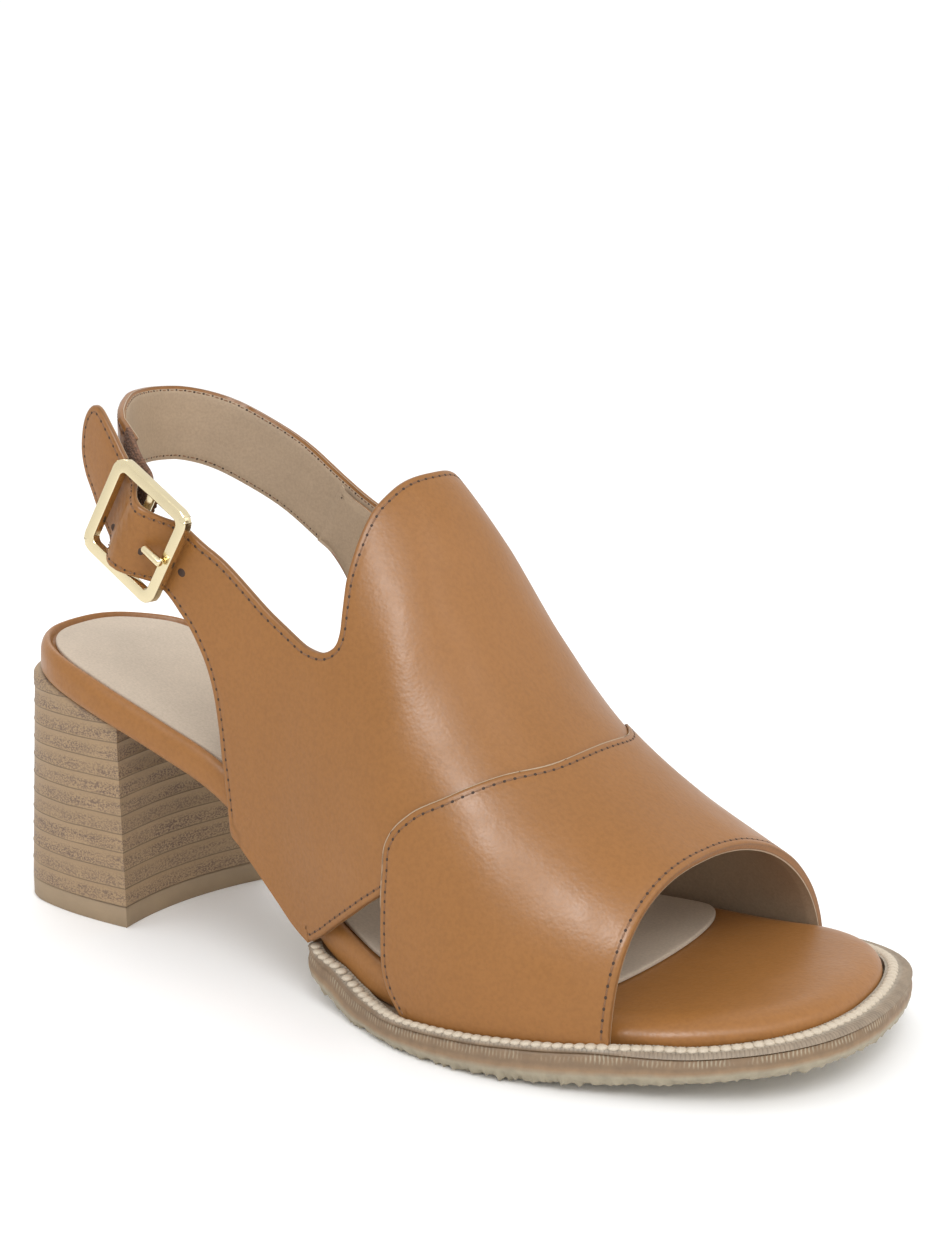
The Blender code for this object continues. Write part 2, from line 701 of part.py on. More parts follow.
def make_welt(material, parent):
    """Ribbed strip on the sole's edge, from the lateral waist round the toe to the medial waist."""
    outer = spline(WELT_LINE[1:-1], 3)
    bm = bmesh.new()
    rings = []
    bed = spline(FOOTBED_LINE, 6, closed=True)
    for i, (x, y) in enumerate(outer):
        ahead = outer[min(i + 1, len(outer) - 1)]
        behind = outer[max(i - 1, 0)]
        run = Vector((ahead[0] - behind[0], ahead[1] - behind[1], 0.0)).normalized()
        inward = Vector((-run.y, run.x, 0.0))
        width = 6.0
        for k in range(60):
            reach = 0.1 * k
            px, py = x + inward.x * reach, y + inward.y * reach
            hit_bed = inside_depth(bed, px, py) < CLEAR + 0.15
            side = -1.0 if py < 2.0 else 1.0
            wall = 1e9
            if CUTOUT_BAND_EDGE[0][0] - 1.0 < px < TOE_MEDIAL_X + 3.0:
                wall_y = along(SECTIONS, 3 if side < 0.0 else 4, px)
                wall = abs(wall_y) + BAND_STEP + CLEAR + 0.15
            if hit_bed or abs(py) < wall < 1e8:
                width = reach
                break
        width = max(width, 0.9)
        base = sole_top(x) + 0.25
        ring = []
        for reach, height in ((0.0, 0.0), (0.0, WELT_THICK * 0.75), (0.5, WELT_THICK), (width, WELT_THICK),
                              (width, 0.0)):
            ring.append(bm.verts.new((x + inward.x * reach, y + inward.y * reach, base + height)))
        rings.append(ring)
    for a, b in zip(rings[:-1], rings[1:]):
        for k in range(5):
            bm.faces.new((a[k], a[(k + 1) % 5], b[(k + 1) % 5], b[k]))
    bm.faces.new(rings[0])
    bm.faces.new(rings[-1][::-1])
    return finish(bm, "welt", material, parent)


def heel_loop(share):
    """Closed plan of the heel at a share of its height, 0 at the seat and 1 at the floor."""
    half = []
    for x_top, y_top, x_floor, y_floor in HEEL_LINE:
        half.append((x_top + (x_floor - x_top) * share, y_top + (y_floor - y_top) * share))
    lateral = spline(half, 2)
    corner_x, corner_y = lateral[-1]
    medial = []
    for x, y in lateral[::-1]:
        reach = ease((x - BREAST_SKEW_FROM) / (corner_x - BREAST_SKEW_FROM))
        medial.append((x + BREAST_SKEW * reach, -y * (1.0 + MEDIAL_FULLER * reach)))
    far_x, far_y = medial[0]
    breast = []
    for k in range(1, 8):
        place = k / 8.0
        hollow = BREAST_HOLLOW * 4.0 * place * (1.0 - place)
        breast.append((corner_x + (far_x - corner_x) * place - hollow, corner_y + (far_y - corner_y) * place))
    return lateral + breast + medial[:-1]


def make_heel(material, parent):
    """Stacked heel from the top piece to the seat, its top edge rounded."""
    bm = bmesh.new()
    levels = (
        # share of height from the seat, inset of the loop
        (0.0, HEEL_TOP_ROUND),
        (0.012, HEEL_TOP_ROUND * 0.3),
        (0.03, 0.0),
        (0.35, 0.0),
        (0.7, 0.0),
        (1.0, 0.0),
    )
    rings = []
    for share, inset in levels:
        ring = []
        for x, y in shrink(heel_loop(share), inset):
            seat = bed_under(x) - CLEAR
            floor = LIFT_PIECE + 0.1
            ring.append(bm.verts.new((x, y, seat + (floor - seat) * share)))
        rings.append(ring)
    count = len(rings[0])
    for a, b in zip(rings[:-1], rings[1:]):
        for k in range(count):
            bm.faces.new((a[k], a[(k + 1) % count], b[(k + 1) % count], b[k]))
    bm.faces.new(rings[-1][::-1])
    top = bm.faces.new(rings[0])
    bmesh.ops.triangulate(bm, faces=[top])
    return finish(bm, "heel", material, parent)


def make_top_piece(material, parent):
    bm = polygon_sheet(heel_loop(1.0))
    thicken(bm)
    for v in bm.verts:
        v.co.z = LIFT_PIECE - 0.1 if v.co.z > 0.5 else 0.0
    return finish(bm, "top_piece", material, parent)


def strip(path, ups, half, thick, name, material, parent, round_end=False):
    """Flat strip swept along a path, its width along the given up directions."""
    bm = bmesh.new()
    rings = []
    for i, here in enumerate(path):
        ahead = path[min(i + 1, len(path) - 1)]
        behind = path[max(i - 1, 0)]
        run = (ahead - behind).normalized()
        up = (ups[i] - run * ups[i].dot(run)).normalized()
        out = run.cross(up)
        ring = []
        for across, off in ((-1, -1), (1, -1), (1, 1), (-1, 1)):
            ring.append(bm.verts.new(here + up * (half * across) + out * (0.5 * thick * off)))
        rings.append(ring)
    for a, b in zip(rings[:-1], rings[1:]):
        for k in range(4):
            bm.faces.new((a[k], a[(k + 1) % 4], b[(k + 1) % 4], b[k]))
    bm.faces.new(rings[0])
    bm.faces.new(rings[-1][::-1])
    return finish(bm, name, material, parent)


def make_sling(material, parent):
    knots = []
    for x, z in SLING_SEAT:
        t = girth(x, z, 1)
        knots.append(tuple(skin(x, t) + skin_normal(x, t) * (SLING_SEAT_GAP + 0.5 * SLING_THICK)))
    knots += list(SLING_PATH)
    middle, run, across, out = buckle_frame_axes()
    end_s, end_a, end_w = ELASTIC_PATH[-1]
    for beyond in (6.5, 1.8):
        place = run * (end_s + beyond * 0.88) + across * (end_a - beyond * 0.2) + out * (end_w - beyond * 0.42)
        knots.append(tuple(middle + place))
    path = [Vector(p) for p in spline(knots, 4)]
    ups = [Vector((0.0, 0.0, 1.0))] * len(path)
    return strip(path, ups, SLING_HALF, SLING_THICK, "sling_strap", material, parent)


def buckle_frame_axes():
    """The buckle's own axes: along the strap to its tip, across it, and out of the shoe."""
    t = girth(BUCKLE_X, BUCKLE_Z, -1)
    middle = skin(BUCKLE_X, t)
    rear_x = BUCKLE_X + STRAP_RUN_X * BUCKLE_HALF
    front_x = BUCKLE_X - STRAP_RUN_X * BUCKLE_HALF
    rear = skin(rear_x, girth(rear_x, BUCKLE_Z + STRAP_RUN_Z * BUCKLE_HALF, -1))
    front = skin(front_x, girth(front_x, BUCKLE_Z - STRAP_RUN_Z * BUCKLE_HALF, -1))
    run = (rear - front).normalized()
    out = skin_normal(BUCKLE_X, t)
    out = (out - run * out.dot(run)).normalized()
    across = out.cross(run)
    return middle, run, across, out


def make_buckle(material, parent):
    """Square frame with rounded corners and a centre bar."""
    middle, run, across, out = buckle_frame_axes()
    bm = bmesh.new()
    low = BUCKLE_LOW
    rings = []
    for inner in (False, True):
        half = BUCKLE_HALF - (BUCKLE_BAR if inner else 0.0)
        corner = max(BUCKLE_CORNER - (BUCKLE_BAR if inner else 0.0), 1.2)
        loop = []
        for quarter in range(4):
            turn = quarter * math.pi / 2.0
            cx = (half - corner) * (1 if quarter in (0, 3) else -1)
            cy = (half - corner) * (1 if quarter in (0, 1) else -1)
            for k in range(5):
                angle = turn + k * math.pi / 8.0
                loop.append((cx + corner * math.cos(angle), cy + corner * math.sin(angle)))
        for height in (low, low + BUCKLE_DEEP):
            rings.append([bm.verts.new((a, b, height)) for a, b in loop])
    count = len(rings[0])
    for a, b in ((0, 1), (1, 3), (3, 2), (2, 0)):
        for k in range(count):
            bm.faces.new((rings[a][k], rings[a][(k + 1) % count], rings[b][(k + 1) % count], rings[b][k]))
    bmesh.ops.recalc_face_normals(bm, faces=bm.faces[:])
    mesh = bpy.data.meshes.new("buckle_frame")
    place = Matrix((run, across, out)).transposed().to_4x4()
    place.translation = middle
    bmesh.ops.transform(bm, matrix=place, verts=bm.verts[:])
    bmesh.ops.triangulate(bm, faces=bm.faces[:])
    bm.to_mesh(mesh)
    bm.free()
    mesh.materials.append(material)
    frame = bpy.data.objects.new("buckle_frame", mesh)
    frame.parent = parent
    bpy.context.scene.collection.objects.link(frame)

    bar = bmesh.new()
    reach = BUCKLE_HALF - BUCKLE_BAR * 0.5
    bmesh.ops.create_cone(bar, cap_ends=True, segments=10, radius1=CENTRE_BAR_R, radius2=CENTRE_BAR_R,
                          depth=2.0 * reach)
    bmesh.ops.rotate(bar, cent=(0, 0, 0), matrix=Matrix.Rotation(math.pi / 2.0, 3, "X"), verts=bar.verts[:])
    bmesh.ops.translate(bar, vec=(0.0, 0.0, low + BUCKLE_DEEP * 0.5), verts=bar.verts[:])
    bmesh.ops.transform(bar, matrix=place, verts=bar.verts[:])
    cutter_mesh = bpy.data.meshes.new("centre_bar")
    bar.to_mesh(cutter_mesh)
    bar.free()
    cutter = bpy.data.objects.new("centre_bar", cutter_mesh)
    bpy.context.scene.collection.objects.link(cutter)
    cutter.hide_render = True
    cutter.display_type = "WIRE"
    joined = frame.modifiers.new("centre_bar", "BOOLEAN")
    joined.operation = "UNION"
    joined.solver = "EXACT"
    joined.object = cutter
    bpy.context.view_layer.update()
    ready = bpy.data.meshes.new_from_object(frame.evaluated_get(bpy.context.evaluated_depsgraph_get()))
    frame.modifiers.clear()
    frame.data = ready
    bpy.data.objects.remove(cutter, do_unlink=True)
    return frame


def make_prong(material, parent):
    """Prong lying from the strap's hole over the frame's front bar."""
    middle, run, across, out = buckle_frame_axes()
    top = BUCKLE_LOW + BUCKLE_DEEP + CLEAR + PRONG_R
    start = -5.2
    stop = -(BUCKLE_HALF + 0.2)
    bm = bmesh.new()
    made = bmesh.ops.create_cone(bm, cap_ends=True, segments=10, radius1=PRONG_R, radius2=PRONG_R,
                                 depth=start - stop)
    bmesh.ops.rotate(bm, cent=(0, 0, 0), matrix=Matrix.Rotation(math.pi / 2.0, 3, "Y"), verts=made["verts"])
    bmesh.ops.translate(bm, vec=(0.5 * (start + stop), 0.0, top), verts=bm.verts[:])
    place = Matrix((run, across, out)).transposed().to_4x4()
    place.translation = middle
    bmesh.ops.transform(bm, matrix=place, verts=bm.verts[:])
    return finish(bm, "buckle_prong", material, parent)


def make_elastic(material, parent):
    """Short elastic link from the centre bar, inside the strap, to the sling's end."""
    middle, run, across, out = buckle_frame_axes()
    path = []
    ups = []
    knots = spline(ELASTIC_PATH, 2)
    for k, (s, a, w) in enumerate(knots):
        path.append(middle + run * s + across * a + out * w)
        ups.append(across.lerp(Vector((0.0, 0.0, -1.0)), k / (len(knots) - 1)))
    return strip(path, ups, ELASTIC_HALF, ELASTIC_THICK, "elastic", material, parent)


def settle(parent):
    """Move every piece so the origin is the middle of the box's floor, in metres."""
    pieces = [thing for thing in bpy.data.objects if thing.type == "MESH"]
    corners = [v.co for thing in pieces for v in thing.data.vertices]
    low = Vector((min(c.x for c in corners), min(c.y for c in corners), min(c.z for c in corners)))
    high = Vector((max(c.x for c in corners), max(c.y for c in corners), max(c.z for c in corners)))
    shift = Vector((-0.5 * (low.x + high.x), -0.5 * (low.y + high.y), -low.z))
    move = Matrix.Scale(MM, 4) @ Matrix.Translation(shift)
    for thing in pieces:
        thing.data.transform(move)
        thing.data.update()
    print("box in mm", high - low, "shift", shift)


def main():
    clear_scene()
    materials = make_materials()
    parent = bpy.data.objects.new("slingback", None)
    bpy.context.scene.collection.objects.link(parent)
    make_outsole(materials["crepe_rubber"], parent)
    make_welt(materials["welt_leather"], parent)
    make_footbed(materials["tan_leather"], parent)
    make_sock(materials["sock_leather"], parent)
    make_heel(materials["stacked_leather"], parent)
    make_top_piece(materials["heel_rubber"], parent)
    make_upper(materials["tan_leather"], parent)
    make_sling(materials["tan_leather"], parent)
    make_elastic(materials["brown_elastic"], parent)
    make_buckle(materials["gold_metal"], parent)
    make_prong(materials["gold_metal"], parent)
    settle(parent)


main()
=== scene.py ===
"""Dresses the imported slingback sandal: leather, stitching, welt, crepe sole, stacked heel and buckle.

Shapes are worked out in millimetres from the heel's back, as in the part's source, and each
piece is moved to the part's own frame in metres when it is finished.
"""

import functools
import math

import bmesh
import bpy
from bpy.props import FloatProperty, FloatVectorProperty, IntProperty, PointerProperty
from mathutils import Matrix, Vector, noise
from mathutils.kdtree import KDTree


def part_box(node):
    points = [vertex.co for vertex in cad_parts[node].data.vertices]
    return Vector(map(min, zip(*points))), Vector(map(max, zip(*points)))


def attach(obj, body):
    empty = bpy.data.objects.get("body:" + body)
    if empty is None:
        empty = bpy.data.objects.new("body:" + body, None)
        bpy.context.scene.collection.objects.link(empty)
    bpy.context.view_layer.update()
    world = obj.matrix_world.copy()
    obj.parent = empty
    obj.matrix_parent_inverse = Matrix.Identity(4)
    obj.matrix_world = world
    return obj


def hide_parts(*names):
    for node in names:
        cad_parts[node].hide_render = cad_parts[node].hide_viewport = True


bl_info = {
    "name": "Slingback sandal",
    "version": (1, 0, 0),
    "blender": (4, 5, 0),
    "location": "View3D > Sidebar > Sandal",
    "description": "Makes the visible pieces of an open-toe slingback sandal on its packed frame",
    "category": "Object",
}

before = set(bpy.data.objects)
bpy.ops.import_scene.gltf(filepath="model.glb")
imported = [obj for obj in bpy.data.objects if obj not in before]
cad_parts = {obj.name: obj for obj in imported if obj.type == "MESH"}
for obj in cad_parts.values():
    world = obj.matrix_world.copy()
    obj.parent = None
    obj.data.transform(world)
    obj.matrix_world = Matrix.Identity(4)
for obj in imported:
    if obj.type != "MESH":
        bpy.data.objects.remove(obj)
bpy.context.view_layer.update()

# Fixed sizes in millimetres, with the directions, shares and counts that go with them
MM = 0.001
UP = Vector((0.0, 0.0, 1.0))
CLEAR = 0.3
BED_ROLL = 2.4
BED_ROLL_DROP = 2.4
TOE_ROLL = 9.0
TOE_DROP = 4.6
RIM_RISE = 2.0
RIM_FALL = 1.0
SOCK_INSET = 4.2
WELT_RISE = 2.0
SOCK_TIP_X = 193.0
SOCK_TIP_ROUND = 20.0
SOLE_SINK = 3.4
SOLE_END_X = 113.0
LIFT_PIECE = 5.8
LIFT_GAP = 0.1
STACK_TOP = 67.5
LAYER_NOTCH = 0.16
LAYER_NOTCH_HALF = 0.28
HEEL_BACK_X = -5.0
SLING_HALF = 10.2
SLING_THICK = 2.4
SLING_SEAT_GAP = 0.75
BUCKLE_HALF = 14.2
BUCKLE_BAR = 3.2
BUCKLE_DEEP = 2.6
BUCKLE_CORNER = 4.0
WINDOW_CORNER = 1.6
BUCKLE_LOW = 1.2
CENTRE_BAR_R = 1.2
CENTRE_BAR_TIP = 0.3
PRONG_R = 1.15
PRONG_TIP = 0.9
PRONG_START = -5.8
PRONG_REST = 1.0
PRONG_ASIDE = 0.4
STRAP_LIFT = 6.9
ELASTIC_HALF = 9.4
ELASTIC_THICK = 1.6
ELASTIC_STEP = 0.5
ELASTIC_TUCK_STEPS = 6
ELASTIC_ROWS = 48
ELASTIC_RIM = 0.45
ELASTIC_RIB = 0.16
ELASTIC_RIB_TURN = 4.2
BUCKLE_X = 59.4
BUCKLE_Z = 112.5
STRAP_RUN_X = -0.857
STRAP_RUN_Z = 0.515
STRAP_FRONT_X = 76.0

# Stretches over which one form passes into another, along x unless named, and places beside them
QUARTER_FOOT = (106.0, 120.0)
TOE_SOFTENS = (150.0, 200.0)
RIM_ENDS = (110.0, 160.0)
SINK_BEFORE = 10.0
SINK_AFTER = 13.0
WELT_CLIMBS = (140.0, 186.0)
WELT_FALLS = (198.0, 226.0)
WELT_RISE_Y = (-14.0, 6.0)
WELT_TOE = (196.0, 222.0)
SOLE_GROWS = (106.0, 116.0)
MEDIAL_THINS = (66.0, 88.0)
MEDIAL_THINNEST = 0.3
LINED_FACE_X = 69.0
LINED_EDGE_X = 76.0
LINED_Y = 20.0
BAND_LAP = (3.0, 4.5)
BAND_LAP_GAP = 0.05

# Welt and its stitches: millimetres, counts, and shares of the welt's width or the stitch's length
WELT_STEP = 0.36
WELT_ROWS = 9
WELT_SMOOTH = 26
WELT_WIDEST = 6.5
WELT_NARROWEST = 0.9
WELT_SEAT = 0.25
WELT_BAND_GAP = 0.8
WELT_PAST_TOE = 2.0
STAIN_AT_TOE = 0.55
RIB_SLANT = 0.22
RIB_DEEP = 0.22
RIB_OUT = 0.12
BEAD_PLACE = 0.52
BEAD_TOE_PLACE = 1.9
BEAD_HALF_SHARE = 0.42
BEAD_LEAST = 0.75
BEAD_HALF = 1.4
BEAD_LONG = 0.60
BEAD_HIGH = 0.72
BEAD_RISE = 1.3
BEAD_SLANT = 0.42

# Half lengths, widths and heights of painted hole shade and thread, the thread's length as a share of its
# pitch
NEEDLE_HOLE_SHADE = (0.44, 0.40, 0.15)
THREAD_LONG = 0.34
THREAD_WIDE = 0.24
THREAD_HIGH = 0.15
STITCH_STEP = 0.7
STITCH_SINK = 0.14
PUNCHED_HOLE_SHADE = (1.25, 1.05, 0.16)

# Material slots of a leather piece
LEATHER_FACE = 0
LINING_FACE = 1
CUT_FACE = 2

# Mesh making: the flat pattern's unit of t, steps, nearness, counts and sizes of cells
PATTERN = 100.0
STEP_T = 0.004
STEP_X = 0.5
PROBE = 0.3
SAME_POINT = 0.05
WELD = 0.004
LEAST_TURN = 0.62
BATCH = 30
REAR_CELL = 0.62
BAND_CELL = 0.85
BREAST_PARTS = 40
TIP_PARTS = 60
BED_LINE_STEP = 1.6
SOCK_LINE_STEP = 1.5
SOLE_LINE_STEP = 0.8
BED_CELL = 2.4
SOLE_CELL = 3.0
FIRST_CUT = 0.37
LAST_CUT = 0.2
CUT_NEAR = 0.02
LAYER_CUT_NEAR = 0.01

# Unevenness: heights and lengths of the leather's waves, and scales of the sole's torn edge
SWELLS = (
    # height, length
    (0.22, 21.0),
    (0.08, 8.0),
)
TORN_FROM = (0.6, 0.95)
TORN_OUT = (0.55, 1.5)
TORN_DOWN = (0.6, 1.6)
SOLE_SWELL = 0.12
SOLE_SWELL_WAVES = 0.35

# Rings of an edge: distance from the cut edge, and the outer face's height there
EDGE_RINGS = (
    # distance, height
    (2.6, 0.0),
    (1.7, -0.16),
    (1.1, -0.02),
    (0.55, -0.07),
    (0.22, -0.25),
    (0.0, -0.6),
)

# Stitch lines, edges of the other pieces, and corners of the patterns
STITCH_INSET = 1.7
SLING_EDGE = 0.7
SKIVE = 0.55
BED_DEPTHS = (0.0, 0.07, 0.25, 0.55, 0.95, 1.4, 1.9, 2.4, 2.65, 2.9, 3.15, 3.4, 4.4, 5.8, 7.4, 9.0)
SOCK_LEVELS = (
    # offset outwards, height, share
    (0.0, 0.0, 0.0),
    (0.0, 0.62, 0.4),
    (-0.16, 0.88, 0.6),
    (-0.5, 1.0, 0.8),
    (-1.4, 1.02, 1.0),
)
SOLE_SIDE = (
    # share of thickness, offset outwards
    (0.0, -0.9),
    (0.03, -0.5),
    (0.12, -0.35),
    (0.25, -0.15),
    (0.42, 0.12),
    (0.58, 0.15),
    (0.70, -0.1),
    (0.80, -0.6),
    (0.88, -1.1),
    (0.94, -1.7),
    (1.0, -3.0),
)
WELT_PROFILE = (
    # share of width, height
    (0.0, 0.45),
    (0.05, 0.85),
    (0.14, 1.2),
    (0.30, 1.4),
    (1.0, 1.5),
)
HEEL_SEAT = (
    # share of height, inset
    (0.0, 1.8),
    (0.004, 0.9),
    (0.012, 0.2),
    (0.024, -0.25),
    (0.05, -0.3),
    (0.08, 0.0),
)
HEEL_PARTS = 12
SLING_START = (
    # along, in from the strap's edge
    (0.0, 3.0),
    (0.6, 1.2),
    (2.4, 0.2),
    (4.0, 0.0),
)
SLING_END = (
    # back from the end, in from the strap's edge
    (12.0, 0.7),
    (6.0, 1.6),
    (0.4, 2.8),
)
SLING_FOLD = 1.2
SLING_TIP = 0.2
SLING_KNOT_FROM = 7
SLING_KNOT_END = 18
SLING_KNOT_STEP = 3
SLING_SWELL = 0.4
SLING_HOLLOW = 0.05
SLING_THREAD = 0.92
SLING_STITCH_SINK = 0.1
SLING_INSIDE_SINK = 0.3
CORNER_CLEAR = 3.6
CORNER_TURN = math.radians(35.0)
BAND_UNDERLAP = 2.5

# Sections of the upper over the last
SECTIONS = (
    # x, z_ridge, y_ridge, y_lateral, y_medial, fullness_lateral, fullness_medial
    (24.0, 236.0, 0.0, -25.4, 20.0, 4.0, 4.0),
    (36.0, 226.0, 0.0, -28.6, 27.0, 4.0, 4.0),
    (47.0, 216.0, 0.0, -31.0, 29.8, 4.0, 4.0),
    (60.0, 200.0, 0.0, -32.3, 31.0, 4.0, 4.0),
    (80.0, 172.0, 1.0, -31.6, 32.0, 3.2, 3.0),
    (100.0, 150.0, 2.0, -33.4, 35.0, 2.7, 2.5),
    (122.0, 133.2, 2.4, -38.2, 42.0, 2.4, 2.1),
    (135.0, 118.9, 2.2, -41.8, 46.8, 2.3, 2.02),
    (148.0, 98.2, 2.1, -44.7, 50.6, 2.3, 2.0),
    (165.0, 75.7, 1.4, -46.6, 53.6, 2.4, 2.0),
    (185.0, 58.8, 1.1, -44.6, 55.2, 2.5, 2.0),
    (216.0, 41.4, 0.2, -36.6, 51.6, 2.6, 2.05),
)
Z_RIDGE = 1
Y_RIDGE = 2
Y_LATERAL = 3
Y_MEDIAL = 4
FULL_LATERAL = 5
FULL_MEDIAL = 6

# Line of the foot seen from the side
PROFILE = (
    # x, z_top, z_under
    (-4.0, 75.4, 68.3),
    (15.0, 72.6, 65.4),
    (30.0, 68.4, 61.2),
    (45.0, 63.1, 56.2),
    (60.0, 57.6, 50.9),
    (75.0, 52.0, 45.0),
    (88.0, 44.6, 37.0),
    (100.0, 35.2, 27.4),
    (112.0, 25.6, 17.8),
    (124.0, 18.6, 10.8),
    (137.0, 14.8, 7.0),
    (147.0, 13.8, 6.5),
    (171.0, 13.9, 6.5),
    (187.0, 14.8, 7.3),
    (205.0, 16.4, 9.1),
    (225.0, 18.4, 11.4),
    (250.0, 21.0, 15.0),
)

# Plan outlines
FOOTBED_LINE = (
    # x, y
    (-2.2, 2.0), (0.0, -10.8), (7.0, -20.6), (18.0, -27.2), (33.0, -29.3), (52.0, -28.6),
    (72.0, -27.8), (90.0, -28.4), (108.0, -31.2), (124.0, -34.8), (140.0, -39.4),
    (155.0, -42.4), (170.0, -42.8), (186.0, -40.8), (202.0, -36.4), (217.0, -32.0),
    (231.0, -23.5), (239.5, -14.0), (243.3, -1.5), (243.0, 12.0), (240.5, 24.0),
    (235.5, 34.5), (228.0, 42.8), (217.0, 48.0), (203.0, 49.0), (185.0, 50.6),
    (166.0, 49.2), (148.0, 46.0), (132.0, 41.6), (116.0, 36.8), (100.0, 31.6),
    (84.0, 29.0), (66.0, 28.8), (48.0, 29.6), (32.0, 30.0), (16.0, 27.4), (5.0, 20.0),
    (-0.8, 12.0),
)
WELT_LINE = (
    # x, y
    (112.4, -31.6), (113.6, -34.4), (116.4, -36.6), (121.0, -38.4), (127.0, -40.4), (138.0, -44.6),
    (151.0, -48.8), (165.0, -50.2), (180.0, -49.2), (196.0, -45.4), (212.0, -39.6), (226.0, -32.8),
    (238.0, -24.6), (246.0, -14.0), (249.6, -1.0), (249.4, 12.0), (247.0, 25.0), (242.5, 37.0),
    (235.0, 46.5), (224.0, 53.5), (210.0, 57.6), (194.0, 59.4), (176.0, 58.8), (158.0, 56.2),
    (140.0, 50.8), (127.0, 45.6), (121.0, 42.8), (116.4, 39.8), (113.6, 37.0), (112.4, 33.8),
)
WAIST_LINE = (
    # x, y_lateral, y_medial
    (47.0, -20.5, 20.5),
    (62.0, -20.0, 20.5),
    (80.0, -20.5, 21.5),
    (98.0, -21.5, 23.0),
    (107.0, -24.0, 26.0),
)
SOLE_DEPTH = (
    # x, thickness
    (100.0, 3.2),
    (108.0, 3.6),
    (113.0, 6.3),
    (119.0, 7.4),
    (126.0, 8.4),
    (132.0, 7.7),
    (138.0, 6.6),
    (147.0, 6.2),
)
HEEL_LINE = (
    # x_top, y_top, x_floor, y_floor, of the lateral half from the back to the breast
    (-3.4, 0.0, -5.0, 0.0),
    (-2.2, -9.0, -4.6, -9.6),
    (1.6, -17.6, -2.4, -17.8),
    (9.4, -24.2, 4.6, -23.2),
    (20.0, -27.2, 17.0, -25.8),
    (31.0, -27.6, 30.0, -26.5),
    (41.2, -26.6, 42.2, -26.1),
)
BREAST_HOLLOW = 4.2
BREAST_SKEW = 4.0
BREAST_SKEW_FROM = 10.0
MEDIAL_FULLER = 0.04

# Edges of the upper on its lateral side, seen from the side
STRAP_TOP_EDGE = (
    # x, z
    (46.6, 137.4), (52.0, 130.6), (57.4, 124.8), (62.2, 120.7), (67.2, 117.2), (72.2, 114.2),
    (82.8, 107.4), (92.4, 100.5), (100.0, 95.1), (106.5, 91.3), (112.0, 88.7),
)
THROAT_EDGE = (
    # x, z
    (117.0, 88.1), (120.4, 89.8), (121.6, 93.2), (121.4, 99.0), (121.0, 105.0), (121.2, 109.5),
    (121.8, 116.0), (122.8, 122.4), (124.4, 126.6),
)
STRAP_TIP_EDGE = (
    # x, z
    (42.0, 142.0), (38.2, 142.2), (34.6, 138.2), (32.9, 131.0), (34.2, 124.8), (37.2, 119.8),
)
REAR_EDGE = (
    # x, z
    (40.4, 115.2), (45.4, 109.0), (52.4, 104.1), (60.0, 99.9), (66.2, 96.4), (70.0, 92.4),
    (74.0, 87.6), (78.0, 80.8),
)
REAR_LOW_EDGE = (
    # x, z, the same on both sides
    (80.8, 73.2), (82.4, 63.6), (83.4, 54.0), (84.8, 43.0),
)
MEDIAL_TOP_EDGE = (
    # x, z
    (73.8, 117.6), (82.8, 112.4), (92.8, 106.2), (100.0, 100.6), (106.5, 94.8), (112.0, 90.2),
)
MEDIAL_END_EDGE = (
    # x, z
    (73.8, 117.6), (68.4, 109.6), (64.4, 101.4),
)
MEDIAL_REAR_EDGE = (
    # x, z
    (64.4, 101.4), (70.4, 97.2), (75.0, 91.0), (78.4, 83.0),
)
QUARTER_REAR_X = 85.4
QUARTER_FRONT_X = 115.0
QUARTER_DROP = 2.2
CUTOUT_QUARTER_EDGE = (
    # x, z
    (117.4, 16.5), (121.6, 19.3), (128.0, 24.2), (135.0, 29.4), (140.0, 33.0),
)
CUTOUT_APEX = (143.4, 35.4)
CUTOUT_BAND_EDGE = (
    # x, z
    (143.8, 26.0), (144.4, 18.0), (146.4, 12.6), (149.6, 8.6),
)
BAND_FOOT_X = 151.5
BAND_SEAM = (
    # x, z
    (143.4, 41.0), (143.4, 46.6), (145.6, 51.4), (149.8, 55.6), (158.4, 60.4), (167.0, 64.6),
)
SEAM_RIDGE_X = 174.8
SEAM_SHOULDER_X = 173.2
SEAM_SHOULDER_Q = 19.0
TOE_LATERAL_X = 204.6
TOE_RIDGE_X = 207.4
TOE_MEDIAL_X = 211.5
TONGUE_RIDGE_X = 126.2

# Sling strap from the medial quarter round the heel, and the elastic in the buckle's own axes
SLING_PATH = (
    # x, y, z
    (55.0, 32.3, 118.7), (43.0, 29.2, 125.4), (34.0, 24.8, 130.0), (27.4, 18.0, 132.6),
    (24.8, 10.0, 133.2), (26.4, 1.4, 133.2), (30.6, -6.4, 133.0),
)
SLING_SEAT = (
    # x, z, on the medial quarter's outside
    (88.0, 98.6), (78.0, 104.4), (69.0, 109.6),
)

# The sling's last knots: how far beyond the elastic's end, and which way in the buckle's own axes
SLING_BEYOND = (6.5, 1.8)
SLING_WAY = (0.88, -0.2, -0.42)
ELASTIC_PATH = (
    # along the strap, across it, out of it
    (0.6, 0.0, -0.1), (4.5, -0.6, -2.8), (9.0, -2.2, -4.6), (14.0, -4.0, -6.0), (21.0, -6.0, -9.3),
)
STRAP_HOLES = (
    # x, z
    (71.4, 102.6), (61.9, 107.9), (48.7, 111.8),
)

# Stage: metres, and the film's width in millimetres
FLOOR_HALF = 30.0
SKY_STRENGTH = 1.05
FILM = 36.0
NEAR_CLIP = 0.01


# Settings that a user would change

def length_setting(name, note, default, low, high):
    """Setting for a length in metres."""
    return FloatProperty(name=name, description=note, default=default, min=low, max=high, unit="LENGTH")


def colour_setting(name, note, default):
    """Setting for a colour."""
    return FloatVectorProperty(name=name, description=note, subtype="COLOR", size=3, default=default,
                               min=0.0, max=1.0)


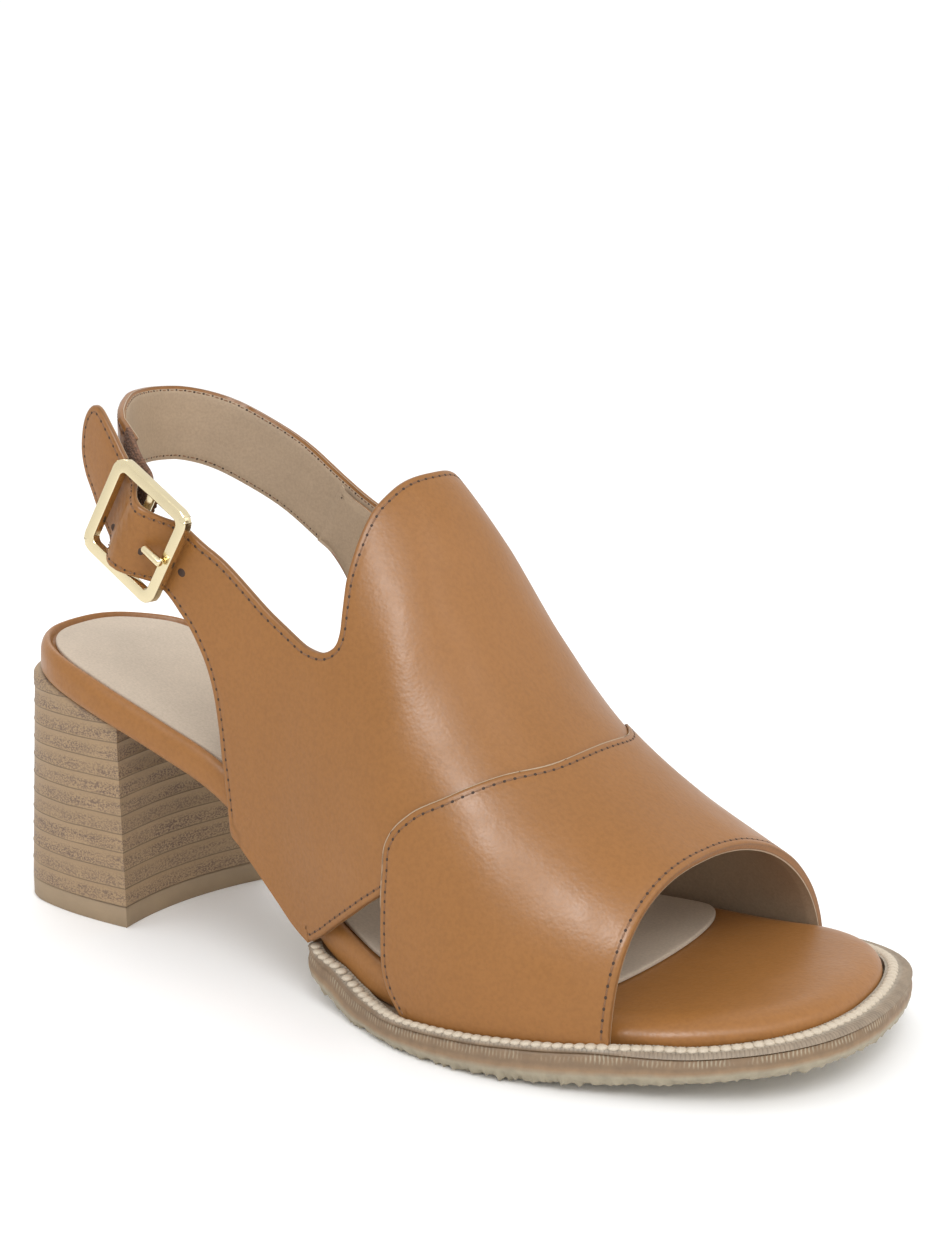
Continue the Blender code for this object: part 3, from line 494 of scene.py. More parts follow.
class SandalLeather(bpy.types.PropertyGroup):
    """Sizes and colours of the upper, the straps and the footbed."""

    thickness: length_setting("Thickness", "Leather and lining together", 0.002, 0.001, 0.004)
    band_step: length_setting("Band step", "How far the front band stands proud", 0.0008, 0.0, 0.002)
    cell: length_setting("Cell", "Size of a mesh cell on the leather", 0.0019, 0.001, 0.006)
    pitch: length_setting("Stitch pitch", "Distance from stitch to stitch", 0.0026, 0.001, 0.005)
    tan: colour_setting("Tan", "Colour of the leather", (0.286, 0.123, 0.033))
    lining: colour_setting("Lining", "Colour of the lining", (0.38, 0.275, 0.178))
    sock: colour_setting("Sock", "Colour of the sock pad", (0.505, 0.415, 0.322))
    thread: colour_setting("Thread", "Colour of the thread", (0.20, 0.088, 0.030))
    # Painted shade: colour of the dark blobs set where needle and punched holes are, for the shade inside
    # them
    painted_hole_shade: colour_setting("Needle hole", "Colour inside a hole", (0.045, 0.021, 0.010))


class SandalSole(bpy.types.PropertyGroup):
    """Sizes and colours of the outsole, the welt and the heel."""

    rib_pitch: length_setting("Rib pitch", "Distance between the welt's ribs", 0.0010, 0.0005, 0.004)
    bead_pitch: length_setting("Bead pitch", "Length of a welt stitch", 0.0025, 0.001, 0.006)
    layers: IntProperty(name="Layers", description="Layers in the heel's stack", default=12, min=4, max=30)
    tear: length_setting("Torn edge", "Roughness of the sole's lower edge", 0.0009, 0.0, 0.003)
    crepe: colour_setting("Crepe", "Colour of the sole's lower half", (0.33, 0.282, 0.20))
    stain: colour_setting("Stain", "Colour of the sole's upper half", (0.205, 0.130, 0.070))
    welt: colour_setting("Welt", "Colour of the welt's thread", (0.56, 0.475, 0.365))
    stack: colour_setting("Stack", "Colour of the heel's layers", (0.355, 0.236, 0.125))
    fibre: colour_setting("Fibre", "Colour of the dark fibres in the heel", (0.118, 0.07, 0.05))
    lift: colour_setting("Lift", "Colour of the heel's lift", (0.29, 0.208, 0.125))


class SandalHardware(bpy.types.PropertyGroup):
    """Sizes and colours of the buckle and the elastic."""

    rounding: length_setting("Rounding", "Rounding of the frame's edges", 0.0009, 0.0001, 0.0012)
    gold: colour_setting("Gold", "Colour of the plating", (0.72, 0.62, 0.40))
    elastic: colour_setting("Elastic", "Colour of the elastic", (0.13, 0.06, 0.03))


class SandalStage(bpy.types.PropertyGroup):
    """Camera and floor."""

    place: FloatVectorProperty(name="Camera", description="Where the camera stands", subtype="TRANSLATION",
                               size=3, default=(0.3110, -0.4165, 0.2017))
    azimuth: FloatProperty(name="Azimuth", description="Turn of the camera about the vertical",
                           subtype="ANGLE", default=math.radians(35.5))
    tilt: FloatProperty(name="Tilt", description="Turn of the camera from straight down", subtype="ANGLE",
                        default=math.radians(78.0))
    lens: FloatProperty(name="Lens", description="Focal length in millimetres on a 36 mm frame",
                        default=61.26)
    floor: colour_setting("Floor", "Colour of the floor", (0.97, 0.97, 0.97))


# Curves and the last

def along(rows, column, x):
    """Smooth value of one column of a table at x, without overshoot between rows."""
    last = len(rows) - 1
    if x <= rows[0][0]:
        return rows[0][column]
    if x >= rows[last][0]:
        return rows[last][column]
    i = 0
    while rows[i + 1][0] < x:
        i += 1

    def slope(k):
        return (rows[k + 1][column] - rows[k][column]) / (rows[k + 1][0] - rows[k][0])

    def tangent(k):
        if k == 0:
            return slope(0)
        if k == last:
            return slope(last - 1)
        before = slope(k - 1)
        after = slope(k)
        if before * after <= 0.0:
            return 0.0
        return 2.0 * before * after / (before + after)

    width = rows[i + 1][0] - rows[i][0]
    s = (x - rows[i][0]) / width
    start = rows[i][column] * (2 * s ** 3 - 3 * s ** 2 + 1)
    end = rows[i + 1][column] * (3 * s ** 2 - 2 * s ** 3)
    bend = width * (tangent(i) * (s ** 3 - 2 * s ** 2 + s) + tangent(i + 1) * (s ** 3 - s ** 2))
    return start + end + bend


def spline(points, parts, closed=False):
    """Points on a smooth curve through the given points, a number of parts to each span."""
    count = len(points)
    spans = count if closed else count - 1
    size = len(points[0])
    out = []
    for i in range(spans):
        if closed:
            p0, p1 = points[i - 1], points[i]
            p2, p3 = points[(i + 1) % count], points[(i + 2) % count]
        else:
            p0, p1 = points[max(i - 1, 0)], points[i]
            p2, p3 = points[i + 1], points[min(i + 2, count - 1)]
        for k in range(parts):
            s = k / parts
            row = []
            for c in range(size):
                a = 2.0 * p1[c]
                b = p2[c] - p0[c]
                d = 2.0 * p0[c] - 5.0 * p1[c] + 4.0 * p2[c] - p3[c]
                e = 3.0 * p1[c] - p0[c] - 3.0 * p2[c] + p3[c]
                row.append(0.5 * (a + b * s + d * s * s + e * s ** 3))
            out.append(tuple(row))
    if not closed:
        out.append(tuple(points[-1]))
    return out


def even(points, step):
    """Points at even steps along an open polyline of tuples."""
    out = [points[0]]
    rest = step
    for a, b in zip(points[:-1], points[1:]):
        size = math.dist(a, b)
        done = 0.0
        while size - done >= rest:
            done += rest
            share = done / size
            out.append(tuple(p + (q - p) * share for p, q in zip(a, b)))
            rest = step
        rest -= size - done
    return out


def ease(low, high, value):
    """0 below low, 1 above high, and smooth between."""
    s = min(max((value - low) / (high - low), 0.0), 1.0)
    return s * s * (3.0 - 2.0 * s)


@functools.lru_cache(maxsize=None)
def bed_top(x):
    """Height of the footbed's top."""
    return along(PROFILE, 1, x)


@functools.lru_cache(maxsize=None)
def bed_under(x):
    """Height of the footbed's underside."""
    return along(PROFILE, 2, x)


@functools.lru_cache(maxsize=None)
def section(column, x):
    """One column of the upper's sections."""
    return along(SECTIONS, column, x)


@functools.lru_cache(maxsize=None)
def upper_low(x):
    """Lowest line of the upper: the quarters reach below the footbed."""
    return bed_under(x) - QUARTER_DROP * (1.0 - ease(*QUARTER_FOOT, x))


def bed_surface(x, depth):
    """Height of the footbed at a distance from its edge: a rolled rim round the sock, softer at the toe."""
    toe = ease(*TOE_SOFTENS, x)
    roll = BED_ROLL + (TOE_ROLL - BED_ROLL) * toe
    drop = BED_ROLL_DROP + (TOE_DROP - BED_ROLL_DROP) * toe
    rise = RIM_RISE * (1.0 - ease(*RIM_ENDS, x))
    if depth < roll:
        share = depth / roll
        return bed_top(x) - drop + (drop + rise) * math.sqrt(share * (2.0 - share))
    fall = min((depth - roll) / RIM_FALL, 1.0)
    return bed_top(x) + rise * 0.5 * (1.0 + math.cos(math.pi * fall))


@functools.lru_cache(maxsize=None)
def sole_top(x):
    """Height of the sole's top, sunk where its thick part starts."""
    sinks = ease(SOLE_END_X - SINK_BEFORE, SOLE_END_X, x)
    climbs = ease(SOLE_END_X, SOLE_END_X + SINK_AFTER, x)
    return bed_under(x) - CLEAR - SOLE_SINK * (sinks * (1.0 - climbs))


def sole_thick(x):
    """Thickness of the sole."""
    return along(SOLE_DEPTH, 1, x)


def welt_rise(x, y):
    """The lateral welt stands higher beside the front of the band."""
    return WELT_RISE * ease(*WELT_CLIMBS, x) * (1.0 - ease(*WELT_FALLS, x)) * (1.0 - ease(*WELT_RISE_Y, y))


def bead_place(x, width):
    """Distance of the welt's stitches from the outline, and half their width."""
    toe = ease(*WELT_TOE, x)
    side_reach = max(BEAD_PLACE * width, BEAD_LEAST)
    toe_reach = max(width - BEAD_TOE_PLACE, BEAD_LEAST)
    side_half = min(max(BEAD_HALF_SHARE * width, BEAD_LEAST), BEAD_HALF)
    return side_reach * (1.0 - toe) + toe_reach * toe, side_half * (1.0 - toe) + BEAD_HALF * toe


def heel_loop(share, parts=10):
    """Closed plan of the heel at a share of its height, 0 at the seat and 1 at the floor."""
    half = []
    for x_top, y_top, x_floor, y_floor in HEEL_LINE:
        half.append((x_top + (x_floor - x_top) * share, y_top + (y_floor - y_top) * share))
    lateral = spline(half, parts)
    near_x, near_y = lateral[-1]
    medial = []
    for x, y in lateral[::-1]:
        reach = ease(BREAST_SKEW_FROM, near_x, x)
        medial.append((x + BREAST_SKEW * reach, -y * (1.0 + MEDIAL_FULLER * reach)))
    far_x, far_y = medial[0]
    breast = []
    for k in range(1, BREAST_PARTS):
        p = k / BREAST_PARTS
        hollow = BREAST_HOLLOW * 4.0 * p * (1.0 - p)
        breast.append((near_x + (far_x - near_x) * p - hollow, near_y + (far_y - near_y) * p))
    return lateral + breast + medial[:-1]


lift_low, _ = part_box("top_piece")
lift_side = min(y for _, y in heel_loop(1.0, 2))
SHIFT = Vector((lift_low.x / MM - HEEL_BACK_X, lift_low.y / MM - lift_side, 0.0))
TO_PART = Matrix.Scale(MM, 4) @ Matrix.Translation(SHIFT)


def skin(x, t):
    """Outer face of the rear leather: t runs from -1 (lateral feather) over 0 (ridge) to 1."""
    z_ridge = section(Z_RIDGE, x)
    y_ridge = section(Y_RIDGE, x)
    y_side = section(Y_LATERAL if t < 0.0 else Y_MEDIAL, x)
    full = section(FULL_LATERAL if t < 0.0 else FULL_MEDIAL, x)
    z_low = upper_low(x)
    angle = (1.0 - min(abs(t), 1.0)) * math.pi / 2.0
    reach = max(math.cos(angle), 0.0) ** (2.0 / full)
    rise = max(math.sin(angle), 0.0) ** (2.0 / full)
    return Vector((x, y_ridge + (y_side - y_ridge) * reach, z_low + (z_ridge - z_low) * rise))


def girth(x, z, side):
    """The place t of height z on the skin's lateral (-1) or medial (1) side at x."""
    z_low = upper_low(x)
    z_ridge = section(Z_RIDGE, x)
    full = section(FULL_LATERAL if side < 0 else FULL_MEDIAL, x)
    high = min(max((z - z_low) / (z_ridge - z_low), 0.0), 1.0)
    return side * (1.0 - math.asin(high ** (full / 2.0)) / (math.pi / 2.0))


def pattern(rows, side):
    """Side-view points turned to the flat pattern: x across, hundredths of t up."""
    return [(x, PATTERN * girth(x, z, side)) for x, z in rows]


def strap_lift(x, z):
    """How far the strap stands out where it climbs over the buckle's centre bar."""
    s = (x - BUCKLE_X) * STRAP_RUN_X + (z - BUCKLE_Z) * STRAP_RUN_Z
    window = BUCKLE_HALF - BUCKLE_BAR
    if abs(s) >= window or x > STRAP_FRONT_X:
        return 0.0
    return STRAP_LIFT * math.cos(math.pi * s / (2.0 * window)) ** 2


def skin_out(x, t):
    """Outward direction of the skin, not of unit length."""
    across = skin(x, min(t + STEP_T, 1.0)) - skin(x, max(t - STEP_T, -1.0))
    forward = skin(x + STEP_X, t) - skin(x - STEP_X, t)
    return forward.cross(across)


def upper_face(x, q):
    """Point and outward direction of the upper's outer face at a place of the flat pattern."""
    t = q / PATTERN
    spot = skin(x, t)
    out = skin_out(x, t)
    if out.length < 1e-9:
        out = UP.copy()
    out.normalize()
    if t < 0.0:
        spot = spot + out * strap_lift(x, spot.z)
    return spot, out


def buckle_axes():
    """The buckle's own axes: its middle, along the strap to its tip, across it, out of the shoe."""

    def wall(share):
        x = BUCKLE_X + STRAP_RUN_X * BUCKLE_HALF * share
        z = BUCKLE_Z + STRAP_RUN_Z * BUCKLE_HALF * share
        return skin(x, girth(x, z, -1))

    t = girth(BUCKLE_X, BUCKLE_Z, -1)
    middle = skin(BUCKLE_X, t)
    run = (wall(1.0) - wall(-1.0)).normalized()
    out = skin_out(BUCKLE_X, t)
    out = (out - run * out.dot(run)).normalized()
    return middle, run, out.cross(run), out


def stand(spot, run, across, out):
    """Matrix from a form's own axes to where it stands on the shoe."""
    place = Matrix((run, across, out)).transposed().to_4x4()
    place.translation = spot
    return place


def stretch(length, width, height):
    """Matrix that stretches a form along its own axes."""
    return Matrix.Diagonal((length, width, height, 1.0))


# Materials

def new_material(name, colour, roughness, metallic=0.0):
    """Principled material with its shader's plain sockets set."""
    material = bpy.data.materials.new(name)
    material.use_nodes = True
    shader = material.node_tree.nodes["Principled BSDF"]
    shader.inputs["Base Color"].default_value = (colour[0], colour[1], colour[2], 1.0)
    shader.inputs["Roughness"].default_value = roughness
    shader.inputs["Metallic"].default_value = metallic
    return material, material.node_tree, shader


def add_node(tree, kind, settings=(), **sockets):
    """New node with its settings, and its sockets set to a value or linked from another socket.

    A socket is named by its label, with _ for a space, or by s and its number.
    """
    made = tree.nodes.new(kind)
    for key, value in settings:
        setattr(made, key, value)
    for key, value in sockets.items():
        numbered = key[1:].isdigit()
        socket = made.inputs[int(key[1:]) if numbered else key.replace("_", " ")]
        if isinstance(value, bpy.types.NodeSocket):
            tree.links.new(value, socket)
        else:
            socket.default_value = value
    return made


def place_of(tree, stretch=None):
    """Object coordinates, stretched along each axis where asked."""
    coordinates = add_node(tree, "ShaderNodeTexCoord").outputs["Object"]
    if stretch is None:
        return coordinates
    return add_node(tree, "ShaderNodeMapping", Vector=coordinates, Scale=stretch).outputs["Vector"]


def grain(tree, scale, detail, vector=None, roughness=0.55):
    """Noise value on Object coordinates, scale in features to the metre."""
    made = add_node(tree, "ShaderNodeTexNoise", Vector=vector or place_of(tree), Scale=scale,
                    Detail=detail, Roughness=roughness)
    return made.outputs["Fac"]


def ramp(tree, value, stops):
    """Colour ramp with (position, grey or colour) stops."""
    made = add_node(tree, "ShaderNodeValToRGB", Fac=value)
    elements = made.color_ramp.elements
    while len(elements) < len(stops):
        elements.new(0.5)
    for element, (position, colour) in zip(elements, stops):
        element.position = position
        if isinstance(colour, (int, float)):
            colour = (colour, colour, colour)
        element.color = (colour[0], colour[1], colour[2], 1.0)
    return made.outputs["Color"]


def mix(tree, share, first, second, blend="MIX"):
    """Two colours mixed by a share."""
    made = add_node(tree, "ShaderNodeMix", (("data_type", "RGBA"), ("blend_type", blend)), s0=share)
    for index, colour in ((6, first), (7, second)):
        if isinstance(colour, bpy.types.NodeSocket):
            tree.links.new(colour, made.inputs[index])
        else:
            made.inputs[index].default_value = (colour[0], colour[1], colour[2], 1.0)
    return made.outputs[2]


def maths(tree, kind, first, second=0.0, third=0.0):
    """Result of one sum."""
    made = add_node(tree, "ShaderNodeMath", (("operation", kind),), s0=first, s1=second, s2=third)
    return made.outputs[0]


def attribute(tree, name):
    """Value of a layer of the mesh."""
    return add_node(tree, "ShaderNodeAttribute", (("attribute_name", name),)).outputs["Fac"]


def bump(tree, shader, height, strength, distance):
    """Relief from a height, its distance in metres."""
    made = add_node(tree, "ShaderNodeBump", Strength=strength, Distance=distance, Height=height)
    tree.links.new(made.outputs["Normal"], shader.inputs["Normal"])


def tint(colour, factor):
    """Colour made darker or lighter by a factor."""
    return tuple(min(c * factor, 1.0) for c in colour)


def vary(tree, share, colour, first, second):
    """One colour between two tints of itself."""
    return mix(tree, share, tint(colour, first), tint(colour, second))


def paint(tree, shader, tone, shade=None):
    """Base colour of a shader, multiplied by a shade where there is one."""
    if shade is not None:
        tone = mix(tree, 1.0, tone, shade, "MULTIPLY")
    tree.links.new(tone, shader.inputs["Base Color"])


def tan_leather(name, colour, edged):
    """Smooth tan leather with fine pores, cloudy colour, darker at its rolled edges, and painted shade in
    the groove by the stitches.
    """
    material, tree, shader = new_material(name, colour, 0.4)
    tone = vary(tree, grain(tree, 22.0, 4.0), colour, 0.88, 1.12)
    speck = ramp(tree, grain(tree, 900.0, 2.0), ((0.32, 0.90), (0.62, 1.0)))
    tone = mix(tree, 1.0, tone, speck, "MULTIPLY")
    if edged:
        # Darker at the rolled cut edge; the dark dip at the stitch groove is painted shade
        rim = ramp(tree, maths(tree, "DIVIDE", attribute(tree, "edge"), EDGE_RINGS[0][0]),
                   ((0.0, 0.62), (0.12, 0.92), (0.45, 1.0), (0.65, 0.82), (0.85, 1.0)))
        tone = mix(tree, 1.0, tone, rim, "MULTIPLY")
    paint(tree, shader, tone)
    pores = add_node(tree, "ShaderNodeTexVoronoi", (("feature", "SMOOTH_F1"),), Vector=place_of(tree),
                     Scale=1250.0).outputs["Distance"]
    height = maths(tree, "MULTIPLY_ADD", pores, 0.6, grain(tree, 420.0, 5.0))
    bump(tree, shader, height, 0.16, 0.0004)
    gloss = ramp(tree, grain(tree, 60.0, 3.0), ((0.3, 0.34), (0.7, 0.46)))
    tree.links.new(gloss, shader.inputs["Roughness"])
    shader.inputs["Specular IOR Level"].default_value = 0.26
    return material


def lining_leather(name, colour):
    """Matt lining leather with a soft nap."""
    material, tree, shader = new_material(name, colour, 0.78)
    tone = vary(tree, grain(tree, 55.0, 5.0), colour, 0.86, 1.14)
    nap = ramp(tree, grain(tree, 1500.0, 3.0), ((0.3, 0.88), (0.65, 1.03)))
    paint(tree, shader, tone, nap)
    bump(tree, shader, grain(tree, 900.0, 4.0), 0.22, 0.0004)
    return material


def cut_edge(name, colour, lining):
    """Cut edge: pale lining below, raw leather above, dark paint at the rim."""
    material, tree, shader = new_material(name, colour, 0.6)
    layers = ramp(tree, attribute(tree, "layer"),
                  ((0.0, tint(lining, 1.15)), (0.14, tint(lining, 1.2)), (0.22, tint(colour, 0.62)),
                   (0.40, tint(colour, 1.02)), (1.0, tint(colour, 0.86))))
    fibre = ramp(tree, grain(tree, 1600.0, 3.0), ((0.3, 0.82), (0.7, 1.0)))
    paint(tree, shader, layers, fibre)
    bump(tree, shader, grain(tree, 1300.0, 3.0), 0.3, 0.0003)
    return material


def sewing_thread(name, colour, roughness):
    """Twisted thread."""
    material, tree, shader = new_material(name, colour, roughness)
    twist = grain(tree, 2600.0, 2.0)
    paint(tree, shader, vary(tree, twist, colour, 0.7, 1.2))
    bump(tree, shader, twist, 0.3, 0.0002)
    return material


def crepe_rubber(name, pale, stain):
    """Crepe rubber: stained brown above with fine pale wheel marks and a painted highlight at the stain's
    lower edge, pale and cloudy below.
    """
    material, tree, shader = new_material(name, pale, 0.62)
    height = attribute(tree, "share")
    waver = maths(tree, "MULTIPLY_ADD", grain(tree, 90.0, 4.0), 0.22, height)
    # Stain lighter at its top; the light stop just above the pale crepe is a painted highlight on the ledge
    band = ramp(tree, waver, ((0.0, tint(stain, 1.25)), (0.22, tint(stain, 1.05)),
                              (0.44, tint(stain, 0.95)), (0.58, tint(stain, 1.3)), (0.74, pale),
                              (1.0, tint(pale, 1.08))))
    run = attribute(tree, "run")
    comb = maths(tree, "PINGPONG", maths(tree, "MULTIPLY_ADD", grain(tree, 300.0, 2.0), 1.1, run), 0.5)
    tooth = ramp(tree, comb, ((0.22, 0.0), (0.40, 1.0)))
    chance = ramp(tree, grain(tree, 130.0, 3.0), ((0.40, 0.0), (0.58, 1.0)))
    fringe = maths(tree, "MULTIPLY_ADD", grain(tree, 520.0, 2.0), 0.24, height)
    top = ramp(tree, fringe, ((0.12, 0.0), (0.16, 1.0), (0.30, 1.0), (0.42, 0.0)))
    marks = maths(tree, "MULTIPLY", tooth, top)
    marks = maths(tree, "MULTIPLY", marks, maths(tree, "MULTIPLY", chance, 0.7))
    tone = mix(tree, marks, band, tint(pale, 1.35))
    mottle = ramp(tree, grain(tree, 420.0, 5.0), ((0.28, 0.84), (0.66, 1.06)))
    paint(tree, shader, tone, mottle)
    bump(tree, shader, maths(tree, "ADD", grain(tree, 300.0, 6.0), marks), 0.35, 0.0006)
    return material


def welt_strip(name, colour, stain):
    """Ribbed welt with painted shade in the grooves between its ribs, stained outside its stitches."""
    material, tree, shader = new_material(name, colour, 0.62)
    # Painted shade: the ribs darken towards the bottom of each groove
    painted_groove_shade = ramp(tree, attribute(tree, "rib"),
                  ((0.0, tint(colour, 0.36)), (0.45, tint(colour, 0.72)), (1.0, colour)))
    painted_groove_shade = mix(tree, attribute(tree, "stained"), painted_groove_shade, stain)
    wear = ramp(tree, grain(tree, 260.0, 4.0), ((0.3, 0.74), (0.7, 1.05)))
    paint(tree, shader, painted_groove_shade, wear)
    bump(tree, shader, grain(tree, 1500.0, 3.0), 0.3, 0.0003)
    return material


def heel_stack(name, colour, fibre, layer, floor):
    """Stacked heel: tan layers, each with a band of dark fibres, and a thin line between layers.

    The layers' height and the floor of the lowest are in metres.
    """
    material, tree, shader = new_material(name, colour, 0.6)
    height = add_node(tree, "ShaderNodeSeparateXYZ", Vector=place_of(tree)).outputs["Z"]
    waver = 0.0009
    wander = maths(tree, "MULTIPLY_ADD", grain(tree, 38.0, 2.0), waver, height)
    count = maths(tree, "DIVIDE", maths(tree, "SUBTRACT", wander, floor + 0.5 * waver), layer)
    within = maths(tree, "FRACT", count)
    each = add_node(tree, "ShaderNodeTexWhiteNoise", (("noise_dimensions", "1D"),),
                    W=maths(tree, "FLOOR", count)).outputs["Value"]
    tone = vary(tree, each, colour, 0.94, 1.06)
    cloudy = grain(tree, 1.0, 4.0, place_of(tree, (110.0, 110.0, 420.0)))
    tone = mix(tree, cloudy, tint(colour, 0.80), tone)
    fibres = grain(tree, 1.0, 3.0, place_of(tree, (1500.0, 1500.0, 2500.0)), 0.62)
    strewn = grain(tree, 1.0, 3.0, place_of(tree, (75.0, 75.0, 500.0)))
    lower = ramp(tree, within, ((0.03, 0.35), (0.14, 1.0), (0.60, 0.95), (0.80, 0.25), (1.0, 0.05)))
    dark = maths(tree, "MULTIPLY", ramp(tree, fibres, ((0.44, 0.0), (0.58, 1.0))), lower)
    dark = maths(tree, "MULTIPLY", dark, ramp(tree, strewn, ((0.30, 0.35), (0.52, 1.0))))
    dark = maths(tree, "MULTIPLY", dark, maths(tree, "MULTIPLY_ADD", each, 0.3, 0.7))
    tone = mix(tree, dark, tone, fibre)
    line = ramp(tree, within, ((0.0, 0.50), (0.03, 0.55), (0.06, 1.0), (0.97, 1.0), (1.0, 0.7)))
    paint(tree, shader, tone, line)
    rise = ramp(tree, within, ((0.0, 0.0), (0.06, 0.9), (1.0, 1.0)))
    bump(tree, shader, maths(tree, "MULTIPLY_ADD", dark, -0.5, rise), 0.35, 0.0004)
    return material


def lift_rubber(name, colour):
    """Matt brown rubber."""
    material, tree, shader = new_material(name, colour, 0.68)
    paint(tree, shader, vary(tree, grain(tree, 70.0, 5.0), colour, 0.8, 1.2))
    bump(tree, shader, grain(tree, 800.0, 4.0), 0.2, 0.0004)
    return material


def knitted_elastic(name, colour):
    """Knitted elastic, ribbed along its length, with painted light on the knit's raised loops and painted
    shade between them.
    """
    material, tree, shader = new_material(name, colour, 0.85)
    knit = add_node(tree, "ShaderNodeTexVoronoi", Vector=place_of(tree, (1.0, 1.0, 1.6)),
                    Scale=1100.0).outputs["Distance"]
    # Colour follows the knit's relief: painted light on the raised middles, painted shade in the hollows
    paint(tree, shader, vary(tree, knit, colour, 1.9, 0.5))
    bump(tree, shader, maths(tree, "SUBTRACT", 1.0, knit), 0.6, 0.0006)
    return material


def plated_gold(name, colour):
    """Pale polished gold plate with faint polishing marks."""
    material, tree, shader = new_material(name, colour, 0.16, 1.0)
    polish = grain(tree, 1.0, 3.0, place_of(tree, (260.0, 260.0, 1500.0)))
    tree.links.new(ramp(tree, polish, ((0.3, 0.12), (0.7, 0.23))), shader.inputs["Roughness"])
    paint(tree, shader, vary(tree, grain(tree, 120.0, 2.0), colour, 0.96, 1.03))
    return material


# Mesh tools

def new_of(made, kind):
    """The new vertices or faces that a bmesh operator gives."""
    return [item for item in made["geom"] if isinstance(item, kind)]


def cut_at(bm, place, normal, near):
    """Cut all faces with a plane, using vertices that lie near it."""
    geom = bm.verts[:] + bm.edges[:] + bm.faces[:]
    bmesh.ops.bisect_plane(bm, geom=geom, plane_co=place, plane_no=normal, dist=near)


def cut_grid(bm, axis, start, stop, step):
    """Cut all faces of a flat sheet along one axis at even steps."""
    normal = Vector((1.0, 0.0, 0.0)) if axis == 0 else Vector((0.0, 1.0, 0.0))
    count = int((stop - start) / step) + 1
    for k in range(count):
        cut_at(bm, normal * (start + step * k), normal, CUT_NEAR)


def thicken(bm):
    """Give a flat sheet a second layer one unit up, joined round its border."""
    made = bmesh.ops.extrude_face_region(bm, geom=bm.faces[:])
    bmesh.ops.translate(bm, vec=UP, verts=new_of(made, bmesh.types.BMVert))


def finish_piece(bm, name, materials, nodes=(), sharp=40.0):
    """Turn a bmesh in heel millimetres into a piece of the shoe."""
    bmesh.ops.remove_doubles(bm, verts=bm.verts[:], dist=WELD)
    bmesh.ops.recalc_face_normals(bm, faces=bm.faces[:])
    bmesh.ops.transform(bm, matrix=TO_PART, verts=bm.verts[:])
    mesh = bpy.data.meshes.new(name)
    bm.to_mesh(mesh)
    bm.free()
    for material in materials:
        mesh.materials.append(material)
    mesh.polygons.foreach_set("use_smooth", [True] * len(mesh.polygons))
    mesh.set_sharp_from_angle(angle=math.radians(sharp))
    piece = bpy.data.objects.new(name, mesh)
    bpy.context.scene.collection.objects.link(piece)
    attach(piece, "root")
    if nodes:
        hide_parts(*nodes)


def trace(stretches):
    """Closed outline from stretches of (points, sewn), with its points cleared beside sharp corners."""
    line = []
    for points, sewn in stretches:
        for x, q in points:
            if not line or math.dist((x, q), line[-1][:2]) > SAME_POINT:
                line.append((x, q, sewn))
    if math.dist(line[0][:2], line[-1][:2]) < SAME_POINT:
        line.pop()
    count = len(line)
    corners = []
    for i in range(count):
        a, b, c = line[i - 1], line[i], line[(i + 1) % count]
        turn = math.atan2(c[1] - b[1], c[0] - b[0]) - math.atan2(b[1] - a[1], b[0] - a[0])
        turn = abs((turn + math.pi) % (2.0 * math.pi) - math.pi)
        corners.append(turn > CORNER_TURN)
    sharp = [line[i][:2] for i in range(count) if corners[i]]
    kept = []
    for i in range(count):
        near = any(math.dist(line[i][:2], corner) < CORNER_CLEAR for corner in sharp)
        if corners[i] or not near:
            kept.append(line[i])
    return kept


def inset(line, face, distance):
    """Outline moved inwards by a true distance on the surface that the pattern lies on."""
    count = len(line)
    area = sum(line[i - 1][0] * line[i][1] - line[i][0] * line[i - 1][1] for i in range(count))
    out = []
    for i in range(count):
        x, q = line[i][:2]
        if distance == 0.0:
            out.append((x, q))
            continue
        here, normal = face(x, q)
        before = here - face(*line[i - 1][:2])[0]
        after = face(*line[(i + 1) % count][:2])[0] - here
        run = (before.normalized() + after.normalized()).normalized()
        inward = normal.cross(run) if area > 0.0 else run.cross(normal)
        half_turn = max(run.dot(after.normalized()), LEAST_TURN)
        wish = inward * (distance / half_turn)
        du = (face(x + PROBE, q)[0] - face(x - PROBE, q)[0]) / (2.0 * PROBE)
        dv = (face(x, q + PROBE)[0] - face(x, q - PROBE)[0]) / (2.0 * PROBE)
        uu, uv, vv = du.dot(du), du.dot(dv), dv.dot(dv)
        base = uu * vv - uv * uv
        wu, wv = wish.dot(du), wish.dot(dv)
        out.append((x + (wu * vv - wv * uv) / base, q + (wv * uu - wu * uv) / base))
    return out


